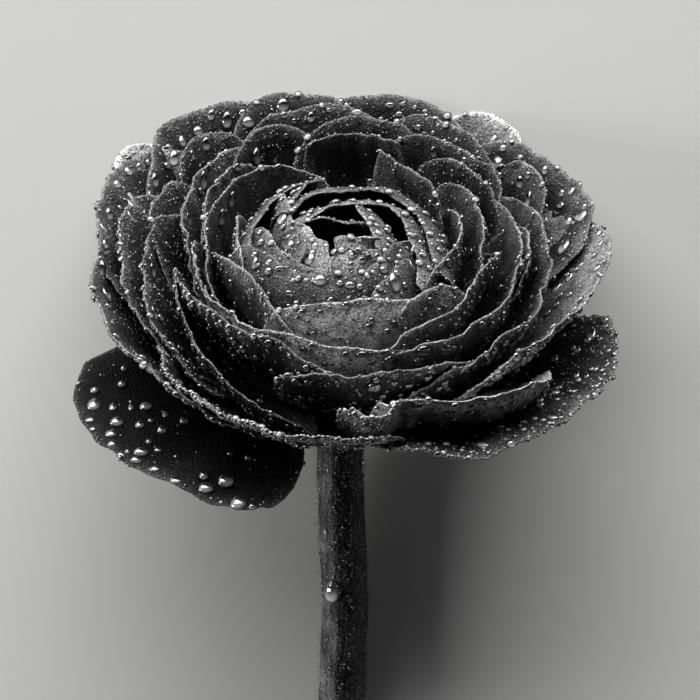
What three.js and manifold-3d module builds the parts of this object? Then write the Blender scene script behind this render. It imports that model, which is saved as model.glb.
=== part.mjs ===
// A cut ranunculus, one open bloom on its bare stem, laid down on a flat surface.
// Millimetres, +Z up. The origin is on the surface, under the middle of the flower.
// The flower lies along Y: its face looks up and towards +Y, its stem runs towards -Y.
// It rests on the backs of its rear petals, which are pressed flat, and on the stem's cut end.
import * as THREE from "three";
import { mergeVertices } from "three/addons/utils/BufferGeometryUtils.js";
import Module from "manifold-3d";

const wasm = await Module();
wasm.setup();

// ---------------------------------------------------------------- driving dimensions
const PETAL_THICKNESS = 0.62; // thicker than the real petal, so that it stays one sound solid
const EYE = new THREE.Vector3(-0.3, 31.2, 27.3); // the heart of the bloom, above the surface
const FACE_TILT = 48; // degrees that the bloom's axis leans from upright towards +Y
const DOME_TOP = 0.8; // height of the rims round the eye
const DOME_FALL = 5; // how much lower the rims of the outermost petals are
const DOME_RADIUS = 33;
const DOME_CURVE = 2.2; // the power of the radius with which the dome falls
const BASE_DEPTH = 22.6; // from the eye down to where the petals are joined
const OUTER_COLUMN = 13; // degrees of an outer petal that one column of its facets takes
const COLUMN = 20; // the same for the petals inside
const HOOD_COLUMNS = 6; // facets across a hood
const OUTER_ROWS = 3; // facets along an outer petal
const ROWS = 2; // the same for the petals inside
const OUTER_FROM = 0.05; // the share of its length at which an outer petal leaves the mass of bases
const SECOND_FROM = 0.45; // the same for the second whorl
const INNER_FROM = 0.5; // the same for the petals inside that
const ROOT_RADIUS = [2.2, 5.8]; // where the innermost and the outermost petals leave the base
const ROOT_HEIGHT = [2.6, 0.8]; // above the base
const ROOT_SLOPE = [85, 13]; // degrees from level
const ROOT_SLOPE_CURVE = 0.8; // the power of a petal's size with which that slope falls
const LARGEST = 1.1; // the size, as a share of the dome's radius, past which roots are alike
const ROOT_SWELL = 0.45; // the share of its reach over which a petal turns from that slope
const GAP = 0.3; // clearance between pieces that are grown together
const STEM_RADIUS = 3.1;

const rad = THREE.MathUtils.degToRad;
const lerp = THREE.MathUtils.lerp;
const clamp = THREE.MathUtils.clamp;

// ---------------------------------------------------------------- the petals, whorl by whorl
// Azimuths are in degrees, anticlockwise from the right, seen down the bloom's axis, so 90 is the rear.
// from, to: where the petal starts and ends; rim: the rim's radius at even steps between them;
// lift: how far the rim is above the dome of rims at its two ends; fall: the share of its length that
// each end curls down; lean: the slope at the rim where it isn't that of RIM_LEAN, where 90 is upright and
// more leans in; swell: how far it bulges below the rim, as a share of its reach.
const PLAIN = { lift: [0, 0], fall: [0.12, 0.12], swell: 0.4 }; // where a row doesn't say
const RIM_LEAN = [120, 109, 101, 90, 76, 57, 36]; // at even steps from the eye
const RIM_LEAN_TO = 36; // the radius of the last of them
const OUTER = [
  { from: 162, to: 242, rim: [30, 32.2, 32.2, 31.4, 30.9, 30.8, 31, 30.8], fall: [0.08, 0.15] },
  { from: 208, to: 288, rim: [27, 28.7, 29.9, 30.1, 30.1, 30, 29.6], lift: [-1, -1], fall: [0.02, 0.12] },
  { from: 126, to: 186, rim: [34.3, 36, 35.9, 34.3, 32.5, 31.5, 31], lift: [0.6, 0], fall: [0.1, 0.12] },
  { from: 131, to: 150, rim: [35.4, 36.8, 37.2, 35.6], lift: [0.4, 0.4], lean: 28, fall: [0.1, 0.1] },
  { from: 98, to: 152, rim: [34, 36.2, 37.3, 37, 33.4, 31.6], lift: [1, 0.5] },
  { from: 82, to: 122, rim: [32.8, 33.6, 34.2, 35.2, 35, 33.6], lift: [0.6, 0.8], fall: [0.12, 0.15] },
  { from: 52, to: 108, rim: [31.8, 33.4, 34.2, 33.9, 33.6, 33.2, 31.6],
    lift: [0.6, 0.6], fall: [0.1, 0.12] },
  { from: 42, to: 72, rim: [33.6, 35.8, 36.8, 36, 33], lean: 30, fall: [0.06, 0.12] },
  { from: 8, to: 62, rim: [32.4, 34.4, 35, 34, 33.8, 34.4, 33.4], lift: [0, 0.4] },
  { from: 304, to: 396, rim: [27, 27.8, 28.7, 31.2, 34, 35, 34.6], fall: [0.1, 0.1] },
  { from: 277, to: 332, rim: [26, 26.7, 27.9, 29.6, 31, 31.6, 31.2], lean: 72, fall: [0.02, 0.12] },
  { from: 268, to: 293, rim: [25.2, 26.4, 27.9, 28.2, 26.7, 26.7, 27.1], lean: 80, fall: [0.1, 0.25] },
  { from: 274, to: 362, rim: [27, 29.2, 32.4, 33.6, 34.9, 36.2, 35.4],
    lift: [-6, -6], lean: 18, fall: [0.02, 0.06] },
  { from: 184, to: 257, rim: [33, 35.8, 35.4, 34, 32.9, 32.6, 32],
    lift: [-12, -14], lean: -12, fall: [0.02, 0.05] },
];
const SECOND = [
  { from: 138, to: 218, rim: [31.5, 31.4, 30, 28, 27.8, 27.8, 27], fall: [0.15, 0.2] },
  { from: 132, to: 180, rim: [28.6, 27.5, 26.3, 25.3, 24.6], fall: [0.2, 0.25] },
  { from: 144, to: 226, rim: [23, 25.4, 25, 25.2, 25.9, 27, 27.6], fall: [0.15, 0.2] },
  { from: 184, to: 278, rim: [21.2, 21, 19.9, 19.4, 19, 20.5, 22], fall: [0.03, 0.15] },
  { from: 186, to: 260, rim: [20.9, 21.9, 22.2, 22.9, 22.9, 22.6, 22.4], lift: [0.2, -9], fall: [0, 0.05] },
  { from: 244, to: 322, rim: [21.8, 22, 22.1, 22.7, 23, 23.2, 23.2], fall: [0.12, 0.15] },
  { from: 286, to: 406, rim: [23.9, 24.1, 25.1, 25.7, 26, 27.6, 28.8], fall: [0.12, 0.15] },
  { from: 340, to: 386, rim: [21.9, 22.9, 23.8, 23.6, 22.2], fall: [0.25, 0.2] },
  { from: 20, to: 50, rim: [29, 30.3, 30.2, 29], fall: [0.2, 0.2] },
];
const REAR = [
  { from: 78, to: 124, rim: [32, 31.7, 31.4, 29.5, 28.1], fall: [0.08, 0.12] },
  { from: 68, to: 108, rim: [29.8, 28.6, 27.2, 25.8, 23.8], fall: [0.08, 0.12] },
  { from: 112, to: 144, rim: [28.6, 30.6, 31, 29.6, 28], fall: [0.15, 0.12] },
  { from: 96, to: 132, rim: [24, 26.8, 27.2, 25, 23.4], fall: [0.1, 0.12] },
  { from: 70, to: 104, rim: [22.3, 22.6, 22.4, 21.6], lean: 108, fall: [0.02, 0.04] },
  { from: 36, to: 84, rim: [25, 27.8, 30.2, 31, 32.2], fall: [0.12, 0.1] },
  { from: 24, to: 82, rim: [22.8, 25.2, 25.3, 25.7, 26], fall: [0.12, 0.1] },
  { from: 22, to: 66, rim: [22.4, 22.6, 22.5, 22.4, 23.4], fall: [0.12, 0.1] },
  { from: 28, to: 79, rim: [14.6, 15.2, 16.4, 17.8, 19.6], lean: 96, fall: [0.15, 0.02] },
];
const MIDDLE = [
  { from: 188, to: 304, rim: [18.2, 18.2, 18.3, 18, 17.9, 18.1, 18.2, 17.5], fall: [0.1, 0.12] },
  { from: 280, to: 412, rim: [18, 18.8, 20.6, 21.9, 21.9, 22.1, 22.6, 23.7, 25], fall: [0.1, 0.15] },
  { from: 284, to: 380, rim: [18.2, 17, 17.6, 17.5, 17.7, 19.2, 19.6], fall: [0.05, 0.2] },
  { from: 338, to: 416, rim: [17, 17.1, 17.6, 18.6, 20.2, 20.5], fall: [0.2, 0.12] },
  { from: 316, to: 402, rim: [11.7, 12, 12.5, 13.8, 15.2, 16.4, 16.5], fall: [0.1, 0.12] },
  { from: 160, to: 212, rim: [18.4, 18.7, 18.8, 18.5], fall: [0.3, 0.2] },
  { from: 94, to: 210, rim: [14.8, 17.7, 18.4, 18.4, 18, 17.3, 17.2, 17.4], fall: [0.1, 0.15] },
  { from: 110, to: 180, rim: [24.2, 22.3, 21.4, 19.7, 18.6, 18.1], fall: [0.2, 0.2] },
  { from: 104, to: 196, rim: [27.9, 27, 25, 22.8, 21, 19.9, 19.2], fall: [0.12, 0.2] },
  { from: 170, to: 248, rim: [17, 15.2, 13.3, 13, 13.9, 15], fall: [0.1, 0.1] },
];
const INNER = [
  { from: 140, to: 212, rim: [15.9, 14.5, 13.3, 12.9, 12.9], fall: [0.15, 0.15] },
  { from: 228, to: 330, rim: [14, 12.3, 11.1, 11, 11.8, 12.2, 11.6], lean: 118, fall: [0.05, 0.1] },
  { from: 300, to: 342, rim: [12.1, 13.1, 14.3, 15.2], lean: 115, fall: [0.1, 0.15] },
];
// The youngest petals are hoods that arch in over the heart, and the bud in the middle is shut at a slit.
// Their rims are given as points in plan, x to the right and y to the rear.
const HOODS = [
  {
    from: 104, to: 190, lift: [0.2, -0.3], lean: 148, swell: 0.3,
    points: [[-2.8, 11.4], [-6, 10.5], [-9, 7.8], [-10.9, 4], [-11.5, 1], [-11.5, -0.8]],
  },
  {
    from: 112, to: 160, lift: [0.3, 0], lean: 140, swell: 0.3,
    points: [[-4.8, 10.6], [-5.8, 8.3], [-6.5, 6.9], [-7, 5.4]],
  },
  {
    from: -28, to: 158, lift: [-0.7, 0.3], lean: 160, swell: 0.34,
    points: [
      [11.2, -4.2], [10.6, -0.6], [10, 3], [8.2, 6.4], [5.6, 9.1],
      [2.2, 9.9], [-1.2, 9.2], [-4.2, 8.2], [-6.5, 4.6],
    ],
  },
  {
    from: -44, to: 152, lift: [-0.7, 0.3], lean: 154, swell: 0.36,
    points: [
      [9, -7], [9.1, -3.6], [8.3, -0.2], [7.9, 2.8], [6.6, 5.5],
      [3.8, 6.8], [0.6, 6.4], [-2.6, 5.1], [-5.6, 2.4],
    ],
  },
  {
    from: -16, to: 70, lift: [-0.6, 0.1], lean: 152, swell: 0.36,
    points: [[4, -0.8], [3.8, 1.2], [3.2, 3.1], [2.5, 4.7], [1.6, 6.5]],
  },
  {
    from: -74, to: 18, lift: [-1, -0.3], lean: 150, swell: 0.4,
    points: [[3.3, -9.6], [4.2, -7.6], [5.6, -5.6], [6.5, -3], [6.3, -0.6], [8.4, 0.4]],
  },
  {
    from: 64, to: 168, lift: [-0.1, 0], lean: 144, swell: 0.4,
    points: [[2.3, 2.8], [0.3, 3.1], [-1.8, 3.7], [-4, 3.2], [-5.5, 2.4]],
  },
  {
    from: 134, to: 190, lift: [0.4, 0], lean: 150, swell: 0.36,
    points: [[-7.4, 8.4], [-6.6, 5.8], [-6.4, 3.4], [-5.4, 2.3], [-5.1, 1.3]],
  },
  {
    from: 164, to: 216, lift: [-0.2, -0.7], lean: 156, swell: 0.42,
    points: [[-5.5, 2.2], [-4.8, 0.8], [-4.7, -0.8], [-4.9, -2.3], [-5.5, -3.8]],
  },
  {
    from: 166, to: 262, lift: [-0.1, -0.7], lean: 150, swell: 0.42,
    points: [[-10.4, 2.4], [-9.2, 1.2], [-8.4, -0.8], [-6.8, -2.4], [-5, -4.2], [-3, -5]],
  },
  {
    from: 182, to: 352, lift: [0.2, 0], lean: 148, swell: 0.42,
    points: [
      [-12.1, -0.7], [-9.8, -2.6], [-7.4, -4.8], [-4.4, -6.4],
      [-0.6, -6.6], [2.6, -5.9], [4.6, -3.4], [6.1, -0.9],
    ],
  },
  {
    from: 146, to: 268, lift: [0, -0.8], lean: 168, swell: 0.42,
    points: [[-5.1, 2.3], [-4.2, 1.9], [-3.5, 0.4], [-2.1, -0.2], [-2, -1.5], [-1.8, -2.8], [-1.5, -4.2]],
  },
  {
    from: 240, to: 392, lift: [-0.4, -0.5], lean: 166, swell: 0.36,
    points: [
      [-1.7, -4.6], [-1.3, -2.4], [-0.9, -1], [-0.4, -0.8],
      [0.3, -1.2], [1, -1.9], [2, -2.3], [3.4, -1.6],
    ],
  },
  {
    from: 262, to: 400, lift: [-0.4, -0.2], lean: 158, swell: 0.3,
    points: [[-1.1, -0.8], [-1.2, 0.2], [-0.4, 0.5], [0.8, 0.6], [2.2, 0.5], [3.4, 0]],
  },
];

// ---------------------------------------------------------------- from a bent sheet to a solid
// A closed blade round the middle surface that place gives at along, from 0 to 1, and across, from -1 to 1.
function blade(place, rows, columns, thickness) {
  const corners = (rows + 1) * (columns + 1);
  const middle = [];
  for (let i = 0; i <= rows; i++)
    for (let j = 0; j <= columns; j++) middle.push(place(i / rows, (2 * j) / columns - 1));
  const at = (i, j) => clamp(i, 0, rows) * (columns + 1) + clamp(j, 0, columns);
  const positions = [];
  for (const side of [0.5, -0.5])
    for (let i = 0; i <= rows; i++)
      for (let j = 0; j <= columns; j++) {
        const up = middle[at(i + 1, j)].clone().sub(middle[at(i - 1, j)]);
        const over = middle[at(i, j + 1)].clone().sub(middle[at(i, j - 1)]);
        const out = over.cross(up).normalize().multiplyScalar(side * thickness);
        positions.push(...middle[at(i, j)].clone().add(out).toArray());
      }
  const index = [];
  const quad = (a, b, c, d) => index.push(a, b, c, a, c, d);
  for (let i = 0; i < rows; i++)
    for (let j = 0; j < columns; j++) {
      const [a, b, c, d] = [at(i, j), at(i, j + 1), at(i + 1, j + 1), at(i + 1, j)];
      quad(a, b, c, d);
      index.push(a + corners, c + corners, b + corners, a + corners, d + corners, c + corners);
    }
  for (let j = 0; j < columns; j++) {
    quad(at(0, j) + corners, at(0, j + 1) + corners, at(0, j + 1), at(0, j));
    quad(at(rows, j), at(rows, j + 1), at(rows, j + 1) + corners, at(rows, j) + corners);
  }
  for (let i = 0; i < rows; i++) {
    quad(at(i, 0), at(i + 1, 0), at(i + 1, 0) + corners, at(i, 0) + corners);
    quad(at(i, columns) + corners, at(i + 1, columns) + corners, at(i + 1, columns), at(i, columns));
  }
  const geometry = new THREE.BufferGeometry();
  geometry.setAttribute("position", new THREE.Float32BufferAttribute(positions, 3));
  geometry.setIndex(index);
  return geometry;
}

function solid(geometry) {
  const bare = geometry.clone();
  bare.deleteAttribute("normal");
  bare.deleteAttribute("uv");
  const merged = mergeVertices(bare, 1e-4);
  const vertProperties = new Float32Array(merged.attributes.position.array);
  const triVerts = new Uint32Array(merged.index.array);
  return new wasm.Manifold(new wasm.Mesh({ numProp: 3, vertProperties, triVerts }));
}

// The one outer body of a joined solid: hollows that the joining seals are filled, loose scraps are dropped.
function outerBody(joined) {
  return joined.decompose().reduce((best, body) => (body.volume() > best.volume() ? body : best));
}

function meshOf(body, material, name) {
  const { vertProperties, triVerts } = body.getMesh();
  const geometry = new THREE.BufferGeometry();
  geometry.setAttribute("position", new THREE.BufferAttribute(vertProperties, 3));
  geometry.setIndex(new THREE.BufferAttribute(triVerts, 1));
  const mesh = new THREE.Mesh(geometry, material);
  mesh.name = name;
  return mesh;
}

const join = (bodies) => bodies.reduce((all, body) => all.add(body));

// ---------------------------------------------------------------- the bloom's own frame
// In it the eye is the origin, z runs out of the face and y to the rear.
const bloomFrame = new THREE.Group();
bloomFrame.position.copy(EYE);
bloomFrame.rotation.x = -rad(FACE_TILT);
bloomFrame.updateMatrix();
const toWorld = bloomFrame.matrix;
const toBloom = toWorld.clone().invert();

// Keeps a point of a petal's middle surface above the surface that the flower lies on: half a petal high,
// less a hair that is cut off, so that the pressed part ends flat.
const HAIR = 0.03;

function press(point) {
  const world = point.clone().applyMatrix4(toWorld);
  world.z = Math.max(world.z, PETAL_THICKNESS / 2 - HAIR);
  return world.applyMatrix4(toBloom);
}

const domeHeight = (radius) => DOME_TOP - DOME_FALL * (radius / DOME_RADIUS) ** DOME_CURVE;
const rimLean = (radius) => between(RIM_LEAN, radius / RIM_LEAN_TO);

// A smooth value between evenly spaced ones, at from 0 to 1.
function between(values, at) {
  const place = clamp(at, 0, 1) * (values.length - 1);
  const i = Math.min(Math.floor(place), values.length - 2);
  const [p, q, r, s] = [i - 1, i, i + 1, i + 2].map((k) => values[clamp(k, 0, values.length - 1)]);
  const t = place - i;
  return q + 0.5 * t * (r - p + t * (2 * p - 5 * q + 4 * r - s + t * (3 * (q - r) + s - p)));
}

// A petal's side-to-side spread along its length: narrow at the root, full, and drawn in at the rim.
const ROOT_SPREAD = 0.35;
const FULL_FROM = 0.72; // the share of the length from which the petal has its full spread
const DRAWN_IN_FROM = 0.8;
const DRAWN_IN = 0.1;

function spread(along) {
  const corner = Math.max(0, (along - DRAWN_IN_FROM) / (1 - DRAWN_IN_FROM));
  const widening = Math.sin((Math.min(1, along / FULL_FROM) * Math.PI) / 2);
  return lerp(ROOT_SPREAD, 1, widening) - DRAWN_IN * corner * corner;
}

// A point of the curve that leaves the base outwards and upwards, and arrives at the rim with its lean.
function cup(azimuth, rim, lean, swell, along) {
  const out = new THREE.Vector3(Math.cos(azimuth), Math.sin(azimuth), 0);
  const size = clamp(Math.hypot(rim.x, rim.y) / DOME_RADIUS, 0, LARGEST);
  const start = out.clone().multiplyScalar(lerp(...ROOT_RADIUS, size));
  start.z = lerp(...ROOT_HEIGHT, size) - BASE_DEPTH;
  const rise = rad(lerp(...ROOT_SLOPE, size ** ROOT_SLOPE_CURVE));
  const reach = start.distanceTo(rim);
  const leave = out.clone().multiplyScalar(Math.cos(rise)).setZ(Math.sin(rise));
  const arrive = out.clone().multiplyScalar(Math.cos(rad(lean))).setZ(Math.sin(rad(lean)));
  const curve = new THREE.CubicBezierCurve3(
    start,
    start.clone().addScaledVector(leave, ROOT_SWELL * reach),
    rim.clone().addScaledVector(arrive, -swell * reach),
    rim,
  );
  return curve.getPoint(along);
}

// A point of the rim, at the given place in plan, on the dome of rims and lifted off it as the row says.
function onDome(x, y, lift, at) {
  return new THREE.Vector3(x, y, domeHeight(Math.hypot(x, y)) + lerp(...lift, at));
}

// One petal as a blade, from the share of its length where it leaves the mass of bases up to its rim.
function petal(row, rootAt, rows, column) {
  const { from, to, rim, lean, lift, fall, swell } = { ...PLAIN, ...row };
  const columns = clamp(Math.round((to - from) / column), 4, 9);
  const place = (along, across) => {
    const length = lerp(rootAt, 1, along);
    const at = 0.5 + 0.5 * across * spread(length);
    const azimuth = rad(lerp(from, to, at));
    const radius = between(rim, at);
    const top = onDome(radius * Math.cos(azimuth), radius * Math.sin(azimuth), lift, at);
    const curl = 1 - fall[across < 0 ? 0 : 1] * Math.abs(across) ** 3;
    return press(cup(azimuth, top, lean ?? rimLean(radius), swell, length * curl));
  };
  return solid(blade(place, rows, columns, PETAL_THICKNESS));
}

function hood(row, rootAt, rows, columns) {
  const { from, to, points, lean, lift, swell } = { ...PLAIN, ...row };
  const xs = points.map((point) => point[0]);
  const ys = points.map((point) => point[1]);
  const place = (along, across) => {
    const length = lerp(rootAt, 1, along);
    const at = 0.5 + 0.5 * across;
    const top = onDome(between(xs, at), between(ys, at), lift, at);
    return cup(rad(lerp(from, to, at)), top, lean, swell, length);
  };
  return solid(blade(place, rows, columns, PETAL_THICKNESS));
}

// The mass of folded petal bases, which the petals stand out of, as radius and height.
function heartMass() {
  const profile = [
    [0, -BASE_DEPTH],
    [4.6, -BASE_DEPTH + 0.1],
    [10, -20.6],
    [15.5, -16.6],
    [19.6, -12.4],
    [19, -10.6],
    [13, -9.6],
    [7, -8.8],
    [0, -8.4],
  ].map(([radius, height]) => new THREE.Vector2(radius, height));
  return solid(new THREE.LatheGeometry(profile, 16).rotateX(Math.PI / 2));
}

// A block that fills the space above the surface: what would reach below it is cut off flat.
const SPACE = 260;
const spaceAbove = () => new THREE.BoxGeometry(SPACE, SPACE, SPACE).translate(0, 0, SPACE / 2);

function bloom(material) {
  const leaves = [
    heartMass(),
    ...OUTER.map((row) => petal(row, OUTER_FROM, OUTER_ROWS, OUTER_COLUMN)),
    ...[...SECOND, ...REAR].map((row) => petal(row, SECOND_FROM, ROWS, COLUMN)),
    ...[...MIDDLE, ...INNER].map((row) => petal(row, INNER_FROM, ROWS, COLUMN)),
    ...HOODS.map((row) => hood(row, INNER_FROM, ROWS, HOOD_COLUMNS)),
  ];
  const aboveSurface = solid(spaceAbove().applyMatrix4(toBloom));
  return meshOf(outerBody(join(leaves).intersect(aboveSurface)), material, "petals");
}

// ---------------------------------------------------------------- the sepals
// Five small pointed sepals on a ring round the top of the stem, spread against the backs of the petals.
const SEPALS = 5;
const FIRST_SEPAL = 126; // azimuth in degrees
const SEPAL_LENGTH = 9;
const SEPAL_WIDTH = 6.4;
const SEPAL_THICKNESS = 0.7;
const SEPAL_ROOT = 4.4; // its distance from the bloom's axis
const SEPAL_DROP = 1.25; // how far its root is below the bloom
const SEPAL_RISE = 1.9; // how far its tip bends up
const SEPAL_HOLLOW = 0.5;
const SEPAL_OUTLINE = [0.28, 0.93]; // the part of a sine's half wave that its sides follow
const RING_INNER = 3.6;
const RING_OUTER = 5.2;
const RING_DEPTH = 1.4;
const RING_CHAMFER = 0.4;

function sepal(azimuth) {
  const out = new THREE.Vector3(Math.cos(azimuth), Math.sin(azimuth), 0);
  const side = new THREE.Vector3(-out.y, out.x, 0);
  const place = (along, across) => {
    const width = (SEPAL_WIDTH / 2) * Math.sin(Math.PI * lerp(...SEPAL_OUTLINE, along));
    const hollow = SEPAL_HOLLOW * across * across * Math.sin(Math.PI * along);
    const point = out.clone().multiplyScalar(SEPAL_ROOT + SEPAL_LENGTH * along);
    point.addScaledVector(side, width * across);
    point.z = -BASE_DEPTH - SEPAL_DROP + SEPAL_RISE * along * along + hollow;
    return point;
  };
  return solid(blade(place, 6, 4, SEPAL_THICKNESS));
}

function sepals(material) {
  const top = -BASE_DEPTH - GAP;
  const profile = [
    [RING_INNER, top - RING_DEPTH],
    [RING_OUTER - RING_CHAMFER, top - RING_DEPTH],
    [RING_OUTER, top - RING_DEPTH / 2],
    [RING_OUTER - RING_CHAMFER, top],
    [RING_INNER, top],
    [RING_INNER, top - RING_DEPTH],
  ].map(([radius, height]) => new THREE.Vector2(radius, height));
  const ring = solid(new THREE.LatheGeometry(profile, 20).rotateX(Math.PI / 2));
  const blades = Array.from({ length: SEPALS }, (_, i) => sepal(rad(FIRST_SEPAL + (i * 360) / SEPALS)));
  return meshOf(outerBody(join([ring, ...blades])), material, "sepals");
}

// ---------------------------------------------------------------- the stem
// It leaves the bloom square to it, bends over and runs down to lie on the surface at its cut end.
// Points of its middle line, from the bloom to the cut, measured from below the eye and above the surface.
const STEM_RUN = [
  [-0.5, -22.5, 7.4],
  [-0.5, -28, 5],
  [-0.3, -36, 3.9],
  [0.1, -46, 3.5],
  [-0.2, -58, 3.3],
  [-0.9, -70, 3.15],
  [-1.5, -82, 3.0],
];
const STEM_SIDES = 14;
const STEM_STEPS = 26;

function stem(material) {
  const neck = new THREE.Vector3(0, 0, -BASE_DEPTH - GAP);
  const top = neck.clone().applyMatrix4(toWorld);
  const below = neck.clone().setZ(neck.z - 3).applyMatrix4(toWorld);
  const run = STEM_RUN.map(([x, y, z]) => new THREE.Vector3(EYE.x + x, EYE.y + y, z));
  const section = new THREE.Shape();
  for (let i = 0; i < STEM_SIDES; i++) {
    const angle = (2 * Math.PI * i) / STEM_SIDES;
    section[i ? "lineTo" : "moveTo"](STEM_RADIUS * Math.cos(angle), STEM_RADIUS * Math.sin(angle));
  }
  section.closePath();
  const stalk = new THREE.ExtrudeGeometry(section, {
    steps: STEM_STEPS,
    bevelEnabled: false,
    extrudePath: new THREE.CatmullRomCurve3([top, below, ...run]),
  });
  return meshOf(solid(stalk).intersect(solid(spaceAbove())), material, "stem");
}

// ---------------------------------------------------------------- the flower
const petalFinish = new THREE.MeshStandardMaterial({ color: 0x6e6e6e, roughness: 0.45, metalness: 0 });
const sepalFinish = new THREE.MeshStandardMaterial({ color: 0x5a5a5a, roughness: 0.6, metalness: 0 });
const stemFinish = new THREE.MeshStandardMaterial({ color: 0x646464, roughness: 0.55, metalness: 0 });

bloomFrame.add(bloom(petalFinish), sepals(sepalFinish));
const flower = new THREE.Group();
flower.add(bloomFrame, stem(stemFinish));

export default flower;
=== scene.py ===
"""A cut ranunculus wet with dew, laid on a pale surface and seen from straight above.

The CAD part fixes where everything is: the flower lies along Y, its face looks up and towards +Y.
Sizes are in millimetres, as on the real flower, and become metres where a mesh is made.
"""

import math

import bpy
import numpy as np
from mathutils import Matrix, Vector
from mathutils.bvhtree import BVHTree


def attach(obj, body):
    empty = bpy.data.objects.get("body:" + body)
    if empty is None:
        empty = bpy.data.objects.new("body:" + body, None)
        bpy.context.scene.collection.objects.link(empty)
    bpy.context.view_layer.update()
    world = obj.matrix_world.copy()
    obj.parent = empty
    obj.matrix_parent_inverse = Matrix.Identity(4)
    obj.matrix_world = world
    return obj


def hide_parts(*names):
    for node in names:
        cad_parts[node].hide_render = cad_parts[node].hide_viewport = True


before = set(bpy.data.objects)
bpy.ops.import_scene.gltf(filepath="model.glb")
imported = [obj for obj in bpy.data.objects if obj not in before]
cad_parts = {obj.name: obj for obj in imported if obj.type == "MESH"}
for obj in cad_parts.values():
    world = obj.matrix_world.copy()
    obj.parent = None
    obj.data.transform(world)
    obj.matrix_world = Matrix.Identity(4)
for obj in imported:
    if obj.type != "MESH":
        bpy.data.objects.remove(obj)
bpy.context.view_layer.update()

# ---------------------------------------------------------------- the view
# The photograph's own view: the camera is above the eye of the bloom and looks down on the flower, with the
# bloom away from it and the stem towards it. The picture's scale is 8 pixels to a millimetre at the eye.
MM = 0.001
EYE = np.array([-0.3, 31.2, 27.3])  # the heart of the bloom, as in the CAD part
PHOTO_SIDE = 700  # pixels
PHOTO_EYE = (344, 243)  # the pixel where the photograph shows the eye
PIXELS_PER_MM = 8
CAMERA_DISTANCE = 500
SENSOR_WIDTH = 36

photo_middle = np.array([PHOTO_SIDE / 2 - PHOTO_EYE[0], PHOTO_EYE[1] - PHOTO_SIDE / 2]) / PIXELS_PER_MM
tip, swing = math.atan2(photo_middle[1], CAMERA_DISTANCE), -math.atan2(photo_middle[0], CAMERA_DISTANCE)
camera = bpy.data.objects.new("camera", bpy.data.cameras.new("camera"))
camera.data.sensor_width = SENSOR_WIDTH
camera.data.lens = SENSOR_WIDTH * CAMERA_DISTANCE * PIXELS_PER_MM / PHOTO_SIDE
camera.data.clip_start = 0.01
camera.location = Vector((EYE + (0, 0, CAMERA_DISTANCE)) * MM)
camera.rotation_euler = (tip, swing, 0)
bpy.context.scene.collection.objects.link(camera)
bpy.context.scene.camera = camera
bpy.context.scene.view_settings.view_transform = "Standard"

# ---------------------------------------------------------------- outer petals
# The largest and oldest petals, spread into a bowl. Petal tissue is a thin translucent skin, satin where dry
# and glossy with dew, grown in place from the base. Two of these petals hang away from the bloom.
FACE_TILT = math.radians(48)  # how far the bloom's axis leans from upright towards +Y
DOME_TOP = 0.8  # height of the rims round the eye
DOME_FALL = 5  # how much lower the rims of the outermost petals are
DOME_RADIUS = 33
DOME_CURVE = 2.2
BASE_DEPTH = 22.6  # from the eye down to where the petals are joined
LEAN_STEP = 6
RIM_LEAN = [120, 109, 101, 90, 76, 57, 36]  # slope of the rims at every LEAN_STEP from the eye, 90 is upright
BODY_THICKNESS = 0.34
RIM_THICKNESS = 0.16
FADE = 2  # from the rim to where painted shade leaves the skin about a third as bright
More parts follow.
